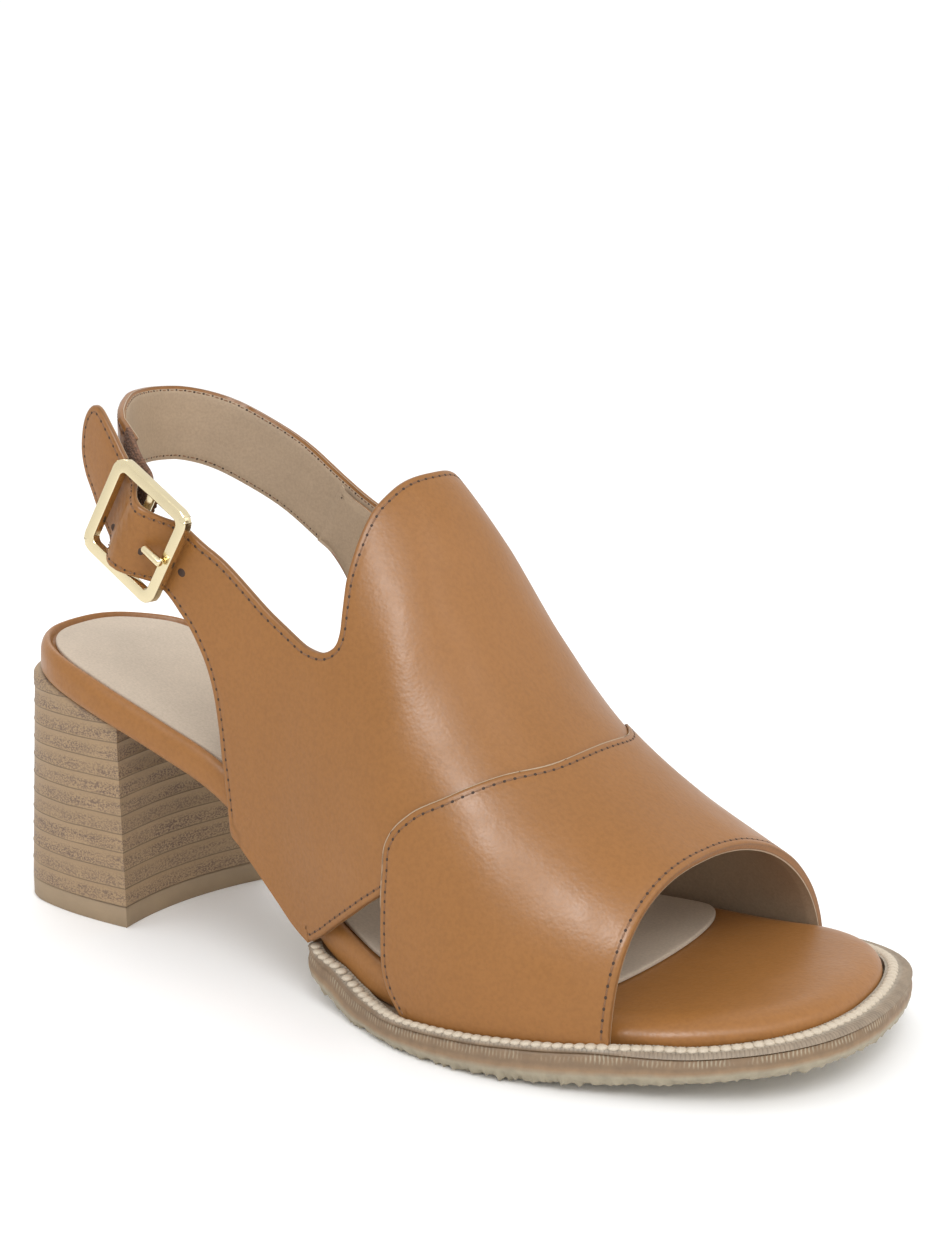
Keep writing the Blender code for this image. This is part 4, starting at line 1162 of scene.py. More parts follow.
def leather_sheet(line, face, step_x, step_q, scale=1.0):
    """Flat sheet of a pattern outline with rings along its edge.

    Layer rim is the distance from the outline, and edge the same from its sewn stretches only.
    """
    loops = [inset(line, face, distance * scale) for distance, _ in EDGE_RINGS]
    count = len(line)
    bm = bmesh.new()
    ring_cos = bm.verts.layers.float.new("ring_cos")
    ring_sin = bm.verts.layers.float.new("ring_sin")
    edge = bm.verts.layers.float.new("edge")
    rim = bm.verts.layers.float.new("rim")
    sewn = bm.verts.layers.float.new("sewn")
    far = EDGE_RINGS[0][0]
    corners = []
    for i, (x, q) in enumerate(loops[0]):
        corner = bm.verts.new((x, q, 0.0))
        corner[sewn] = 1.0 if line[i][2] else 0.0
        corner[ring_cos] = math.cos(2.0 * math.pi * i / count)
        corner[ring_sin] = math.sin(2.0 * math.pi * i / count)
        corners.append(corner)
    bm.faces.new(corners)
    low_x = min(p[0] for p in line)
    high_x = max(p[0] for p in line)
    low_q = min(p[1] for p in line)
    high_q = max(p[1] for p in line)
    cut_grid(bm, 0, low_x + 0.5 * step_x, high_x, step_x)
    cut_grid(bm, 1, low_q + 0.5 * step_q, high_q, step_q)
    for v in bm.verts:
        v[edge] = far
        v[rim] = far
    for loop, (distance, _) in zip(loops[1:], EDGE_RINGS[1:]):
        border = [e for e in bm.edges if e.is_boundary]
        made = bmesh.ops.extrude_edge_only(bm, edges=border)
        for v in new_of(made, bmesh.types.BMVert):
            place = math.atan2(v[ring_sin], v[ring_cos]) / (2.0 * math.pi) * count % count
            i = int(place) % count
            share = place - int(place)
            a, b = loop[i], loop[(i + 1) % count]
            v.co = (a[0] + (b[0] - a[0]) * share, a[1] + (b[1] - a[1]) * share, 0.0)
            v[edge] = far + (distance - far) * min(max(v[sewn], 0.0), 1.0)
            v[rim] = distance
    return bm


def edge_height(distance):
    """Height of the outer face at a distance from its cut edge."""
    if distance >= EDGE_RINGS[0][0]:
        return 0.0
    for (far, high), (near, low) in zip(EDGE_RINGS[:-1], EDGE_RINGS[1:]):
        if distance >= near - 1e-4:
            return low + (high - low) * (distance - near) / (far - near)
    return EDGE_RINGS[-1][1]


def shape_leather(bm, face, outer_height, inner_height):
    """Thicken a pattern sheet, lay it on its surface and tell leather, lining and cut edge apart."""
    thicken(bm)
    edge = bm.verts.layers.float["edge"]
    rim = bm.verts.layers.float["rim"]
    layer = bm.verts.layers.float.new("layer")
    for v in bm.verts:
        v[layer] = 1.0 if v.co.z > 0.5 else 0.0
    for f in bm.faces:
        tops = sum(1 for v in f.verts if v[layer] > 0.5)
        if tops == len(f.verts):
            f.material_index = LEATHER_FACE
        else:
            f.material_index = CUT_FACE if tops else LINING_FACE
    for v in bm.verts:
        x, q = v.co.x, v.co.y
        spot, out = face(x, q)
        if v[layer] > 0.5:
            depth = outer_height(x, q, spot) + edge_height(v[edge])
        else:
            depth = inner_height(x, q, spot) + SKIVE * (1.0 - v[rim] / EDGE_RINGS[0][0])
        v.co = spot + out * depth


def sewn_runs(line, face, distance):
    """Stitch lines of an outline: its sewn stretches, moved inwards."""
    moved = inset(line, face, distance)
    runs = []
    for i, (_, _, sewn) in enumerate(line):
        if sewn:
            if not runs or not line[i - 1][2]:
                runs.append([])
            runs[-1].append(moved[i])
    return [run for run in runs if len(run) > 2]


def sew(bm, path, pitch, size=1.0):
    """Thread and painted needle-hole shade along a path of (point, outward direction): thread is 0, hole
    shade is 1.
    """
    line = [tuple(p) + tuple(n) for p, n in path]
    spots = []
    rest = 0.0
    for a, b in zip(line[:-1], line[1:]):
        length = math.dist(a[:3], b[:3])
        if length < 1e-6:
            continue
        place = rest
        while place < length:
            share = place / length
            row = [p + (q - p) * share for p, q in zip(a, b)]
            run = (Vector(b[:3]) - Vector(a[:3])).normalized()
            spots.append((Vector(row[:3]), Vector(row[3:]).normalized(), run))
            place += 0.5 * pitch
        rest = place - length
    places = []
    for k, (spot, out, run) in enumerate(spots):
        side = out.cross(run).normalized()
        turn = stand(spot, side.cross(out), side, out)
        # Every second blob is painted shade for a needle hole, the others are thread
        hole = k % 2
        form = NEEDLE_HOLE_SHADE if hole else (THREAD_LONG * pitch, THREAD_WIDE, THREAD_HIGH)
        places.append((turn @ stretch(form[0] * size, form[1] * size, form[2] * size), hole))
    add_beads(bm, places, 8, 4)


def add_beads(bm, places, around, rows):
    """Add rounded forms at places of (matrix, material index), in small batches to keep it quick."""
    for start in range(0, len(places), BATCH):
        batch = bmesh.new()
        for matrix, index in places[start:start + BATCH]:
            made = bmesh.ops.create_uvsphere(batch, u_segments=around, v_segments=rows, radius=1.0,
                                             matrix=matrix)
            if index:
                for f in {f for v in made["verts"] for f in v.link_faces}:
                    f.material_index = index
        mesh = bpy.data.meshes.new("batch")
        batch.to_mesh(mesh)
        batch.free()
        bm.from_mesh(mesh)
        bpy.data.meshes.remove(mesh)


def outward_ways(outline):
    """Outward direction at each point of a closed plan outline that runs anticlockwise."""
    count = len(outline)
    ways = []
    for i in range(count):
        ax, ay = outline[i - 1]
        bx, by = outline[(i + 1) % count]
        size = math.hypot(bx - ax, by - ay)
        ways.append(Vector(((by - ay) / size, (ax - bx) / size, 0.0)))
    return ways


def drawn_in(outline, distance):
    """Closed plan outline moved inwards."""
    ways = outward_ways(outline)
    return [(x - way.x * distance, y - way.y * distance) for (x, y), way in zip(outline, ways)]


def loft(outline, levels, step):
    """Solid from a plan outline: levels of (offset outwards, height, share) from cap to cap.

    Offset and height are functions of x and y. Layers run and share tell the material where it is.
    """
    bm = bmesh.new()
    way = bm.verts.layers.float_vector.new("way")
    run = bm.verts.layers.float.new("run")
    share = bm.verts.layers.float.new("share")
    corners = []
    done = 0.0
    for i, ((x, y), out) in enumerate(zip(outline, outward_ways(outline))):
        corner = bm.verts.new((x, y, 0.0))
        corner[way] = out
        corner[run] = done
        done += math.dist(outline[i], outline[(i + 1) % len(outline)])
        corners.append(corner)
    bm.faces.new(corners)
    low = min(p[0] for p in outline)
    high = max(p[0] for p in outline)
    cut_grid(bm, 0, low + FIRST_CUT * step, high - LAST_CUT, step)
    base = bm.verts.layers.float_vector.new("base")
    for v in bm.verts:
        v[base] = v.co
    faces = bm.faces[:]
    fresh = bm.verts[:]
    for k, (offset, height, part) in enumerate(levels):
        if k:
            made = bmesh.ops.extrude_face_region(bm, geom=faces)
            if k > 1:
                bmesh.ops.delete(bm, geom=faces, context="FACES")
            fresh = new_of(made, bmesh.types.BMVert)
            faces = new_of(made, bmesh.types.BMFace)
        for v in fresh:
            x, y = v[base].x, v[base].y
            v.co = v[base] + v[way] * offset(x, y)
            v.co.z = height(v.co.x, v.co.y)
            v[share] = part
    return bm


def flat(value):
    """A level's value that is the same all round."""
    return lambda x, y: value


def above(line, rise):
    """A level's height at a rise over a line of the foot."""
    return lambda x, y: line(x) + rise


def inside_depth(points, x, y):
    """Distance of a point from a closed outline."""
    best = 1e9
    count = len(points)
    for i in range(count):
        ax, ay = points[i]
        bx, by = points[(i + 1) % count]
        dx, dy = bx - ax, by - ay
        size = dx * dx + dy * dy
        s = 0.0 if size == 0.0 else min(max(((x - ax) * dx + (y - ay) * dy) / size, 0.0), 1.0)
        best = min(best, math.hypot(x - ax - s * dx, y - ay - s * dy))
    return best


# Upper

def seam_line():
    """Rear edge of the front band, from the lateral cut-out over the ridge to the medial cut-out."""
    over = [(SEAM_SHOULDER_X, -SEAM_SHOULDER_Q), (SEAM_RIDGE_X, 0.0), (SEAM_SHOULDER_X, SEAM_SHOULDER_Q)]
    lateral = pattern((CUTOUT_APEX,) + BAND_SEAM, -1)
    medial = pattern((CUTOUT_APEX,) + BAND_SEAM, 1)
    return spline(lateral + over + medial[::-1], 6)


def feather(start, stop, side, count):
    """Stretch of the pattern along its lateral or medial feather line."""
    return [(start + (stop - start) * k / count, PATTERN * side) for k in range(count + 1)]


def band_outline(seam):
    """Front band: cut-out edge, feather, open toe and the seam over the rear piece."""
    toe = spline(((TOE_LATERAL_X, -PATTERN), (TOE_RIDGE_X, 0.0), (TOE_MEDIAL_X, PATTERN)), 40)
    low = []
    for side in (-1, 1):
        edge = pattern((CUTOUT_APEX,) + CUTOUT_BAND_EDGE, side) + [(BAND_FOOT_X, PATTERN * side)]
        low.append(spline(edge, 6))
    return trace((
        (low[0], True),
        (feather(BAND_FOOT_X, TOE_LATERAL_X, -1, 18), False),
        (toe, True),
        (feather(TOE_MEDIAL_X, BAND_FOOT_X, 1, 18), False),
        (low[1][::-1], True),
        (seam[::-1], True),
    ))


def rear_outline(seam):
    """Rear piece: tongue, both quarters and the lateral strap, its front running under the band."""
    under = []
    for i, (x, q) in enumerate(seam):
        ahead = seam[min(i + 1, len(seam) - 1)]
        behind = seam[max(i - 1, 0)]
        dx, dq = ahead[0] - behind[0], ahead[1] - behind[1]
        size = math.hypot(dx, dq)
        under.append((x + dq / size * BAND_UNDERLAP, q - dx / size * BAND_UNDERLAP))
    cutout = CUTOUT_QUARTER_EDGE + (CUTOUT_APEX,)
    sides = []
    for side in (-1, 1):
        rear = (MEDIAL_REAR_EDGE if side > 0 else REAR_EDGE) + REAR_LOW_EDGE
        sides.append((
            spline(pattern(rear, side) + [(QUARTER_REAR_X, PATTERN * side)], 5),
            feather(QUARTER_REAR_X, QUARTER_FRONT_X, side, 10),
            spline([(QUARTER_FRONT_X, PATTERN * side)] + pattern(cutout, side), 5),
        ))
    lateral, medial = sides
    lateral_top = STRAP_TOP_EDGE + THROAT_EDGE
    strap = spline(pattern(lateral_top[::-1] + STRAP_TIP_EDGE + REAR_EDGE[:2], -1), 5)
    tongue = spline(pattern(THROAT_EDGE[-2:], 1) + [(TONGUE_RIDGE_X, 0.0)]
                    + pattern(THROAT_EDGE[-2:], -1)[::-1], 8)
    medial_top = spline(pattern(MEDIAL_TOP_EDGE + THROAT_EDGE, 1), 5)
    medial_end = spline(pattern(MEDIAL_END_EDGE, 1), 4)
    strap_cut = 5
    return trace((
        (under, False),
        (medial[2][::-1], True),
        (medial[1][::-1], False),
        (medial[0][::-1], True),
        (medial_end[::-1], False),
        (medial_top[:-strap_cut], True),
        (tongue, True),
        (strap[strap_cut:-strap_cut], True),
        (lateral[0][strap_cut:], True),
        (lateral[1], False),
        (lateral[2], True),
    ))


def soft_swell(spot):
    """Slow unevenness of hand-lasted leather."""
    return sum(height * noise.noise(spot / length) for height, length in SWELLS)


def upper_materials(leather):
    """Leather, lining and cut edge."""
    return (
        tan_leather("tan_leather", leather.tan, True),
        lining_leather("lining_leather", leather.lining),
        cut_edge("leather_edge", leather.tan, leather.lining),
    )


def thread_materials(leather):
    """Thread, and painted shade for needle holes."""
    return (
        sewing_thread("tan_thread", leather.thread, 0.65),
        sewing_thread("painted_hole_shade", leather.painted_hole_shade, 0.9),
    )


class SandalMakeUpper(bpy.types.Operator):
    """Make the upper's two leather pieces with their stitching and painted shade in the strap's holes"""

    bl_idname = "sandal.make_upper"
    bl_label = "Upper"

    def execute(self, context):
        leather = context.scene.sandal_leather
        wall = leather.thickness / MM
        step = leather.band_step / MM
        cell = leather.cell / MM
        pitch = leather.pitch / MM
        seam = seam_line()
        finishes = upper_materials(leather)
        stitching = bmesh.new()

        rear = rear_outline(seam)
        bm = leather_sheet(rear, upper_face, cell, cell * REAR_CELL)

        def rear_inner(x, q, spot):
            if q < 0.0:
                return -wall
            return -wall * (MEDIAL_THINNEST + (1.0 - MEDIAL_THINNEST) * ease(*MEDIAL_THINS, x))

        shape_leather(bm, upper_face, lambda x, q, spot: soft_swell(spot), rear_inner)
        for f in bm.faces:
            middle = f.calc_center_median()
            lined = middle.x < (LINED_EDGE_X if f.material_index == CUT_FACE else LINED_FACE_X)
            if lined and middle.y > LINED_Y:
                f.material_index = LINING_FACE
        finish_piece(bm, "upper_rear", finishes, ("upper",))

        band = band_outline(seam)
        seam_spots = even(seam, 1.0)
        nearest = KDTree(len(seam_spots))
        for i, (x, q) in enumerate(seam_spots):
            nearest.insert(skin(x, q / PATTERN), i)
        nearest.balance()

        def band_inner(x, q, spot):
            near = nearest.find(spot)[2]
            return -wall + (wall + BAND_LAP_GAP) * (1.0 - ease(*BAND_LAP, near))

        bm = leather_sheet(band, upper_face, cell, cell * BAND_CELL)
        shape_leather(bm, upper_face, lambda x, q, spot: step + soft_swell(spot), band_inner)
        finish_piece(bm, "upper_band", finishes, ("upper",))

        for line, raised in ((rear, 0.0), (band, step)):
            for run in sewn_runs(line, upper_face, STITCH_INSET):
                path = []
                for x, q in even(run, STITCH_STEP):
                    spot, out = upper_face(x, q)
                    path.append((spot + out * (raised + soft_swell(spot) - STITCH_SINK), out))
                sew(stitching, path, pitch)
        finish_piece(stitching, "upper_stitching", thread_materials(leather), sharp=80.0)

        # Dark blobs of painted shade stand for the strap's punched holes
        hole_shade_blobs = bmesh.new()
        _, run, _, _ = buckle_axes()
        for x, z in STRAP_HOLES:
            spot, out = upper_face(x, PATTERN * girth(x, z, -1))
            side = out.cross(run).normalized()
            turn = stand(spot + out * soft_swell(spot), side.cross(out), side, out)
            bmesh.ops.create_uvsphere(hole_shade_blobs, u_segments=16, v_segments=6, radius=1.0,
                                      matrix=turn @ stretch(*PUNCHED_HOLE_SHADE))
        finish_piece(hole_shade_blobs, "strap_hole_shades", (thread_materials(leather)[1],), sharp=80.0)
        return {"FINISHED"}


# Sling strap and elastic

def sling_track():
    """The sling's middle line, at steps of a millimetre."""
    knots = []
    for x, z in SLING_SEAT:
        spot, out = upper_face(x, PATTERN * girth(x, z, 1))
        knots.append(tuple(spot + out * (SLING_SEAT_GAP + 0.5 * SLING_THICK)))
    knots += list(SLING_PATH)
    middle, run, across, out = buckle_axes()
    for beyond in SLING_BEYOND:
        s, a, w = (end + beyond * way for end, way in zip(ELASTIC_PATH[-1], SLING_WAY))
        knots.append(tuple(middle + (run * s + across * a + out * w)))
    return [Vector(p) for p in even(spline(knots, 24), 1.0)]


def strip_face(track, up):
    """Surface of a strip along a track: s along it, w across it, both in millimetres."""
    last = len(track) - 1

    def face(s, w):
        place = min(max(s, 0.0), last - 1e-6)
        i = int(place)
        ahead = track[min(i + 2, last)] - track[max(i - 1, 0)]
        here = track[i] + (track[i + 1] - track[i]) * (place - i)
        if s < 0.0 or s > last:
            here = here + ahead.normalized() * (s - place)
        run = ahead.normalized()
        rise = (up - run * up.dot(run)).normalized()
        return here + rise * w, run.cross(rise).normalized()

    return face, float(last)


class SandalMakeSling(bpy.types.Operator):
    """Make the sling strap with its lining and stitching"""

    bl_idname = "sandal.make_sling"
    bl_label = "Sling strap"

    def execute(self, context):
        leather = context.scene.sandal_leather
        face, length = strip_face(sling_track(), UP)
        upper = [(s, SLING_HALF - narrower) for s, narrower in SLING_START]
        knots = range(SLING_KNOT_FROM, int(length) - SLING_KNOT_END, SLING_KNOT_STEP)
        upper += [(s, SLING_HALF) for s in knots]
        upper += [(length - back, SLING_HALF - narrower) for back, narrower in SLING_END]
        lower = [(s, -w) for s, w in upper]
        line = trace((
            (lower, True),
            ([(length - SLING_TIP, 0.0)], False),
            (upper[::-1], True),
            ([(0.0, 0.0)], True),
        ))
        bm = leather_sheet(line, face, leather.cell / MM, leather.cell / MM, SLING_EDGE)
        thick = 0.5 * SLING_THICK
        across = bm.verts.layers.float.new("across")
        for v in bm.verts:
            v[across] = v.co.y
        shape_leather(bm, face, lambda s, w, spot: thick + SLING_SWELL * soft_swell(spot),
                      lambda s, w, spot: -thick - SLING_HOLLOW * math.cos(w))
        rim = bm.verts.layers.float["rim"]
        for f in bm.faces:
            folded = all(v[across] > 0.0 and v[rim] < SLING_FOLD for v in f.verts)
            if folded and f.material_index == LINING_FACE:
                f.material_index = LEATHER_FACE
        finish_piece(bm, "sling_leather", upper_materials(leather), ("sling_strap",))
        stitching = bmesh.new()
        for run in sewn_runs(line, face, STITCH_INSET * SLING_EDGE):
            for side, sink in ((1.0, SLING_STITCH_SINK), (-1.0, SLING_INSIDE_SINK)):
                path = []
                for s, w in even(run, STITCH_STEP):
                    spot, out = face(s, w)
                    path.append((spot + out * (side * (thick - sink)), out * side))
                sew(stitching, path, leather.pitch / MM, SLING_THREAD)
        finish_piece(stitching, "sling_stitching", thread_materials(leather), sharp=80.0)
        return {"FINISHED"}


class SandalMakeElastic(bpy.types.Operator):
    """Make the knitted elastic between the buckle and the sling"""

    bl_idname = "sandal.make_elastic"
    bl_label = "Elastic"

    def execute(self, context):
        hardware = context.scene.sandal_hardware
        middle, run, across, out = buckle_axes()
        knots = [tuple(middle + run * s + across * a + out * w) for s, a, w in ELASTIC_PATH]
        track = [Vector(p) for p in even(spline(knots, 20), ELASTIC_STEP)]
        ahead = (track[-1] - track[-4]).normalized()
        track += [track[-1] + ahead * (ELASTIC_STEP * k) for k in range(1, ELASTIC_TUCK_STEPS + 1)]
        length = len(track) - 1
        bm = bmesh.new()
        bmesh.ops.create_grid(bm, x_segments=length, y_segments=ELASTIC_ROWS, size=1.0)
        thicken(bm)
        for v in bm.verts:
            i = int(round((v.co.x + 1.0) * 0.5 * length))
            way = (track[min(i + 2, length)] - track[max(i - 2, 0)]).normalized()
            down = across.lerp(-UP, i / length)
            down = (down - way * down.dot(way)).normalized()
            away = down.cross(way)
            w = v.co.y * ELASTIC_HALF
            full = ELASTIC_RIM + (1.0 - ELASTIC_RIM) * ease(0.0, 0.12, 1.0 - abs(v.co.y))
            thick = 0.5 * ELASTIC_THICK * full + ELASTIC_RIB * math.cos(w * ELASTIC_RIB_TURN)
            v.co = track[i] + down * w + away * (thick if v.co.z > 0.5 else -thick)
        knit = knitted_elastic("knitted_elastic", hardware.elastic)
        finish_piece(bm, "elastic_link", (knit,), ("elastic",))
        return {"FINISHED"}


# Buckle

def round_edges(bm, edges, radius, segments, clamp=False):
    """Round some edges."""
    bmesh.ops.bevel(bm, geom=edges, offset=radius, offset_type="OFFSET", segments=segments, profile=0.5,
                    affect="EDGES", material=-1, clamp_overlap=clamp)


def shaped_bar(length, radius, place, tip):
    """Round bar along X with rounded ends."""
    bm = bmesh.new()
    made = bmesh.ops.create_cone(bm, cap_ends=True, segments=24, radius1=radius, radius2=radius,
                                 depth=length)
    quarter = Matrix.Rotation(math.pi / 2.0, 3, "Y")
    bmesh.ops.rotate(bm, cent=(0.0, 0.0, 0.0), matrix=quarter, verts=made["verts"])
    ends = []
    for e in bm.edges:
        a, b = e.verts
        if abs(abs(a.co.x) - 0.5 * length) < 1e-4 and abs(a.co.x - b.co.x) < 1e-4:
            ends.append(e)
    round_edges(bm, ends, tip, 5)
    bmesh.ops.transform(bm, matrix=place, verts=bm.verts[:])
    return bm


class SandalMakeBuckle(bpy.types.Operator):
    """Make the buckle's frame, its centre bar and its prong"""

    bl_idname = "sandal.make_buckle"
    bl_label = "Buckle"

    def execute(self, context):
        hardware = context.scene.sandal_hardware
        gold = plated_gold("plated_gold", hardware.gold)
        rounding = hardware.rounding / MM
        place = stand(*buckle_axes())
        bm = bmesh.new()
        bmesh.ops.create_grid(bm, x_segments=1, y_segments=1, size=BUCKLE_HALF)
        bmesh.ops.inset_region(bm, faces=bm.faces[:], thickness=BUCKLE_BAR, use_boundary=True,
                               use_even_offset=True)
        window = min(bm.faces, key=lambda f: f.calc_center_median().length)
        bmesh.ops.delete(bm, geom=[window], context="FACES")
        made = bmesh.ops.extrude_face_region(bm, geom=bm.faces[:])
        bmesh.ops.translate(bm, vec=UP * BUCKLE_DEEP, verts=new_of(made, bmesh.types.BMVert))
        bmesh.ops.recalc_face_normals(bm, faces=bm.faces[:])
        for outer, radius in ((True, BUCKLE_CORNER), (False, WINDOW_CORNER)):
            upright = []
            for e in bm.edges:
                a, b = e.verts
                if abs(a.co.z - b.co.z) > 0.5 * BUCKLE_DEEP:
                    far = max(abs(a.co.x), abs(a.co.y)) > BUCKLE_HALF - 0.1
                    if far == outer and abs(abs(a.co.x) - abs(a.co.y)) < 0.1:
                        upright.append(e)
            round_edges(bm, upright, radius, 8)
        sharp = math.radians(60.0)
        rims = [e for e in bm.edges if len(e.link_faces) == 2 and e.calc_face_angle(0.0) > sharp]
        round_edges(bm, rims, rounding, 4, True)
        bmesh.ops.translate(bm, vec=UP * BUCKLE_LOW, verts=bm.verts[:])
        bmesh.ops.transform(bm, matrix=place, verts=bm.verts[:])
        finish_piece(bm, "buckle_square", (gold,), ("buckle_frame",), sharp=50.0)

        reach = 2.0 * (BUCKLE_HALF - BUCKLE_BAR) + 1.0
        quarter = Matrix.Rotation(math.pi / 2.0, 4, "Z")
        high = BUCKLE_LOW + 0.5 * BUCKLE_DEEP
        middle = Matrix.Translation(UP * high)
        bar = shaped_bar(reach, CENTRE_BAR_R, place @ middle @ quarter, CENTRE_BAR_TIP)
        finish_piece(bar, "buckle_centre_bar", (gold,))

        stop = PRONG_REST - BUCKLE_HALF
        high = BUCKLE_LOW + BUCKLE_DEEP + CLEAR + PRONG_R
        middle = Matrix.Translation((0.5 * (PRONG_START + stop), PRONG_ASIDE, high))
        prong = shaped_bar(PRONG_START - stop, PRONG_R, place @ middle, PRONG_TIP)
        finish_piece(prong, "buckle_tongue", (gold,), ("buckle_prong",), sharp=60.0)
        return {"FINISHED"}


# Footbed and sock

class SandalMakeFootbed(bpy.types.Operator):
    """Make the leather-wrapped footbed and the sock pad on it"""

    bl_idname = "sandal.make_footbed"
    bl_label = "Footbed and sock"

    def execute(self, context):
        leather = context.scene.sandal_leather
        outline = even(spline(FOOTBED_LINE, 12, closed=True), BED_LINE_STEP)
        levels = [
            # offset outwards, height, share
            (flat(-1.0), above(bed_under, 0.0), 0.0),
            (flat(-0.35), above(bed_under, 0.25), 0.05),
            (flat(0.0), above(bed_under, 0.9), 0.15),
            (flat(0.12), lambda x, y: bed_under(x) + 0.45 * (bed_surface(x, 0.0) - bed_under(x)), 0.4),
        ]
        for depth in BED_DEPTHS:
            levels.append((flat(-depth), lambda x, y, d=depth: bed_surface(x, d), 0.6))
        bm = loft(outline, levels, BED_CELL)
        wrap = tan_leather("footbed_leather", tint(leather.tan, 1.07), False)
        finish_piece(bm, "footbed_wrap", (wrap,), ("footbed",), sharp=60.0)

        inner = drawn_in(outline, SOCK_INSET)
        square = SOCK_TIP_X - SOCK_TIP_ROUND
        first = next(i for i in range(len(inner)) if inner[i][0] >= square)
        last = max(i for i in range(len(inner)) if inner[i][0] >= square)
        before, after = inner[first - 1], inner[(last + 1) % len(inner)]
        middle, half = 0.5 * (before[1] + after[1]), 0.5 * (after[1] - before[1])
        tip = []
        for k in range(1, TIP_PARTS):
            turn = math.pi * k / TIP_PARTS
            tip.append((before[0] + (SOCK_TIP_X - before[0]) * math.sin(turn) ** 0.5,
                        middle - half * math.cos(turn)))
        pad = even(inner[:first] + tip + inner[last + 1:], SOCK_LINE_STEP)
        levels = [(flat(out), above(bed_top, CLEAR + rise), share) for out, rise, share in SOCK_LEVELS]
        bm = loft(pad, levels, BED_CELL)
        cover = lining_leather("sock_leather", leather.sock)
        finish_piece(bm, "sock_pad", (cover,), ("sock",), sharp=60.0)
        return {"FINISHED"}


# Sole, welt and heel

def sole_line():
    """Plan of the sole: lateral waist, welt line round the toe, medial waist."""
    lateral = [(x, y) for x, y, _ in WAIST_LINE]
    medial = [(x, y) for x, _, y in WAIST_LINE]
    line = spline(lateral, 6) + spline(WELT_LINE, 12) + spline(medial[::-1], 6)
    return even(line, SOLE_LINE_STEP)


def waves(spot, scales):
    """Sum of noise at several scales."""
    return sum(noise.noise(spot * scale) for scale in scales)


class SandalMakeSole(bpy.types.Operator):
    """Make the crepe sole with its stained side and torn lower edge"""

    bl_idname = "sandal.make_sole"
    bl_label = "Outsole"

    def execute(self, context):
        sole = context.scene.sandal_sole
        tear = sole.tear / MM
        levels = []
        for share, out in SOLE_SIDE:
            ragged = ease(*TORN_FROM, share)

            def offset(x, y, out=out, ragged=ragged, share=share):
                spot = Vector((x, y, share * 2.0))
                swell = SOLE_SWELL * noise.noise(spot * SOLE_SWELL_WAVES)
                return ease(*SOLE_GROWS, x) * (out + tear * ragged * waves(spot, TORN_OUT) + swell)

            def height(x, y, share=share, ragged=ragged):
                top = sole_top(x) + welt_rise(x, y) * (1.0 - share)
                spot = Vector((x, y, 9.0 + share * 3.0))
                jag = 0.0
                if share < 1.0:
                    jag = tear * ragged * ease(*SOLE_GROWS, x) * waves(spot, TORN_DOWN)
                return max(top - sole_thick(x) * share + jag, 0.0)

            levels.append((offset, height, share))
        bm = loft(sole_line(), levels, SOLE_CELL)
        rubber = crepe_rubber("crepe_rubber", sole.crepe, sole.stain)
        finish_piece(bm, "crepe_sole", (rubber,), ("outsole",), sharp=50.0)
        return {"FINISHED"}


def welt_track():
    """The welt's outer line with its inward direction and width."""
    outer = even(spline(WELT_LINE[1:-1], 16), WELT_STEP)
    bed = spline(FOOTBED_LINE, 6, closed=True)
    rows = []
    for i, (x, y) in enumerate(outer):
        ahead = outer[min(i + 3, len(outer) - 1)]
        behind = outer[max(i - 3, 0)]
        run = Vector((ahead[0] - behind[0], ahead[1] - behind[1], 0.0)).normalized()
        inward = Vector((-run.y, run.x, 0.0))
        gap = inside_depth(bed, x, y) - CLEAR
        wall = 1e9
        toe_x = TOE_LATERAL_X if y < 0.0 else TOE_MEDIAL_X
        if CUTOUT_APEX[0] < x < toe_x + WELT_PAST_TOE:
            wall_y = section(Y_LATERAL if y < 0.0 else Y_MEDIAL, x)
            wall = abs(y) - abs(wall_y) - WELT_BAND_GAP - CLEAR
        spot = Vector((x, y, sole_top(x) + welt_rise(x, y)))
        rows.append((spot, inward, max(min(gap, wall, WELT_WIDEST), WELT_NARROWEST)))
    smooth = []
    for i, (spot, inward, _) in enumerate(rows):
        near = rows[max(i - WELT_SMOOTH, 0):i + WELT_SMOOTH + 1]
        smooth.append((spot, inward, sum(row[2] for row in near) / len(near)))
    return smooth


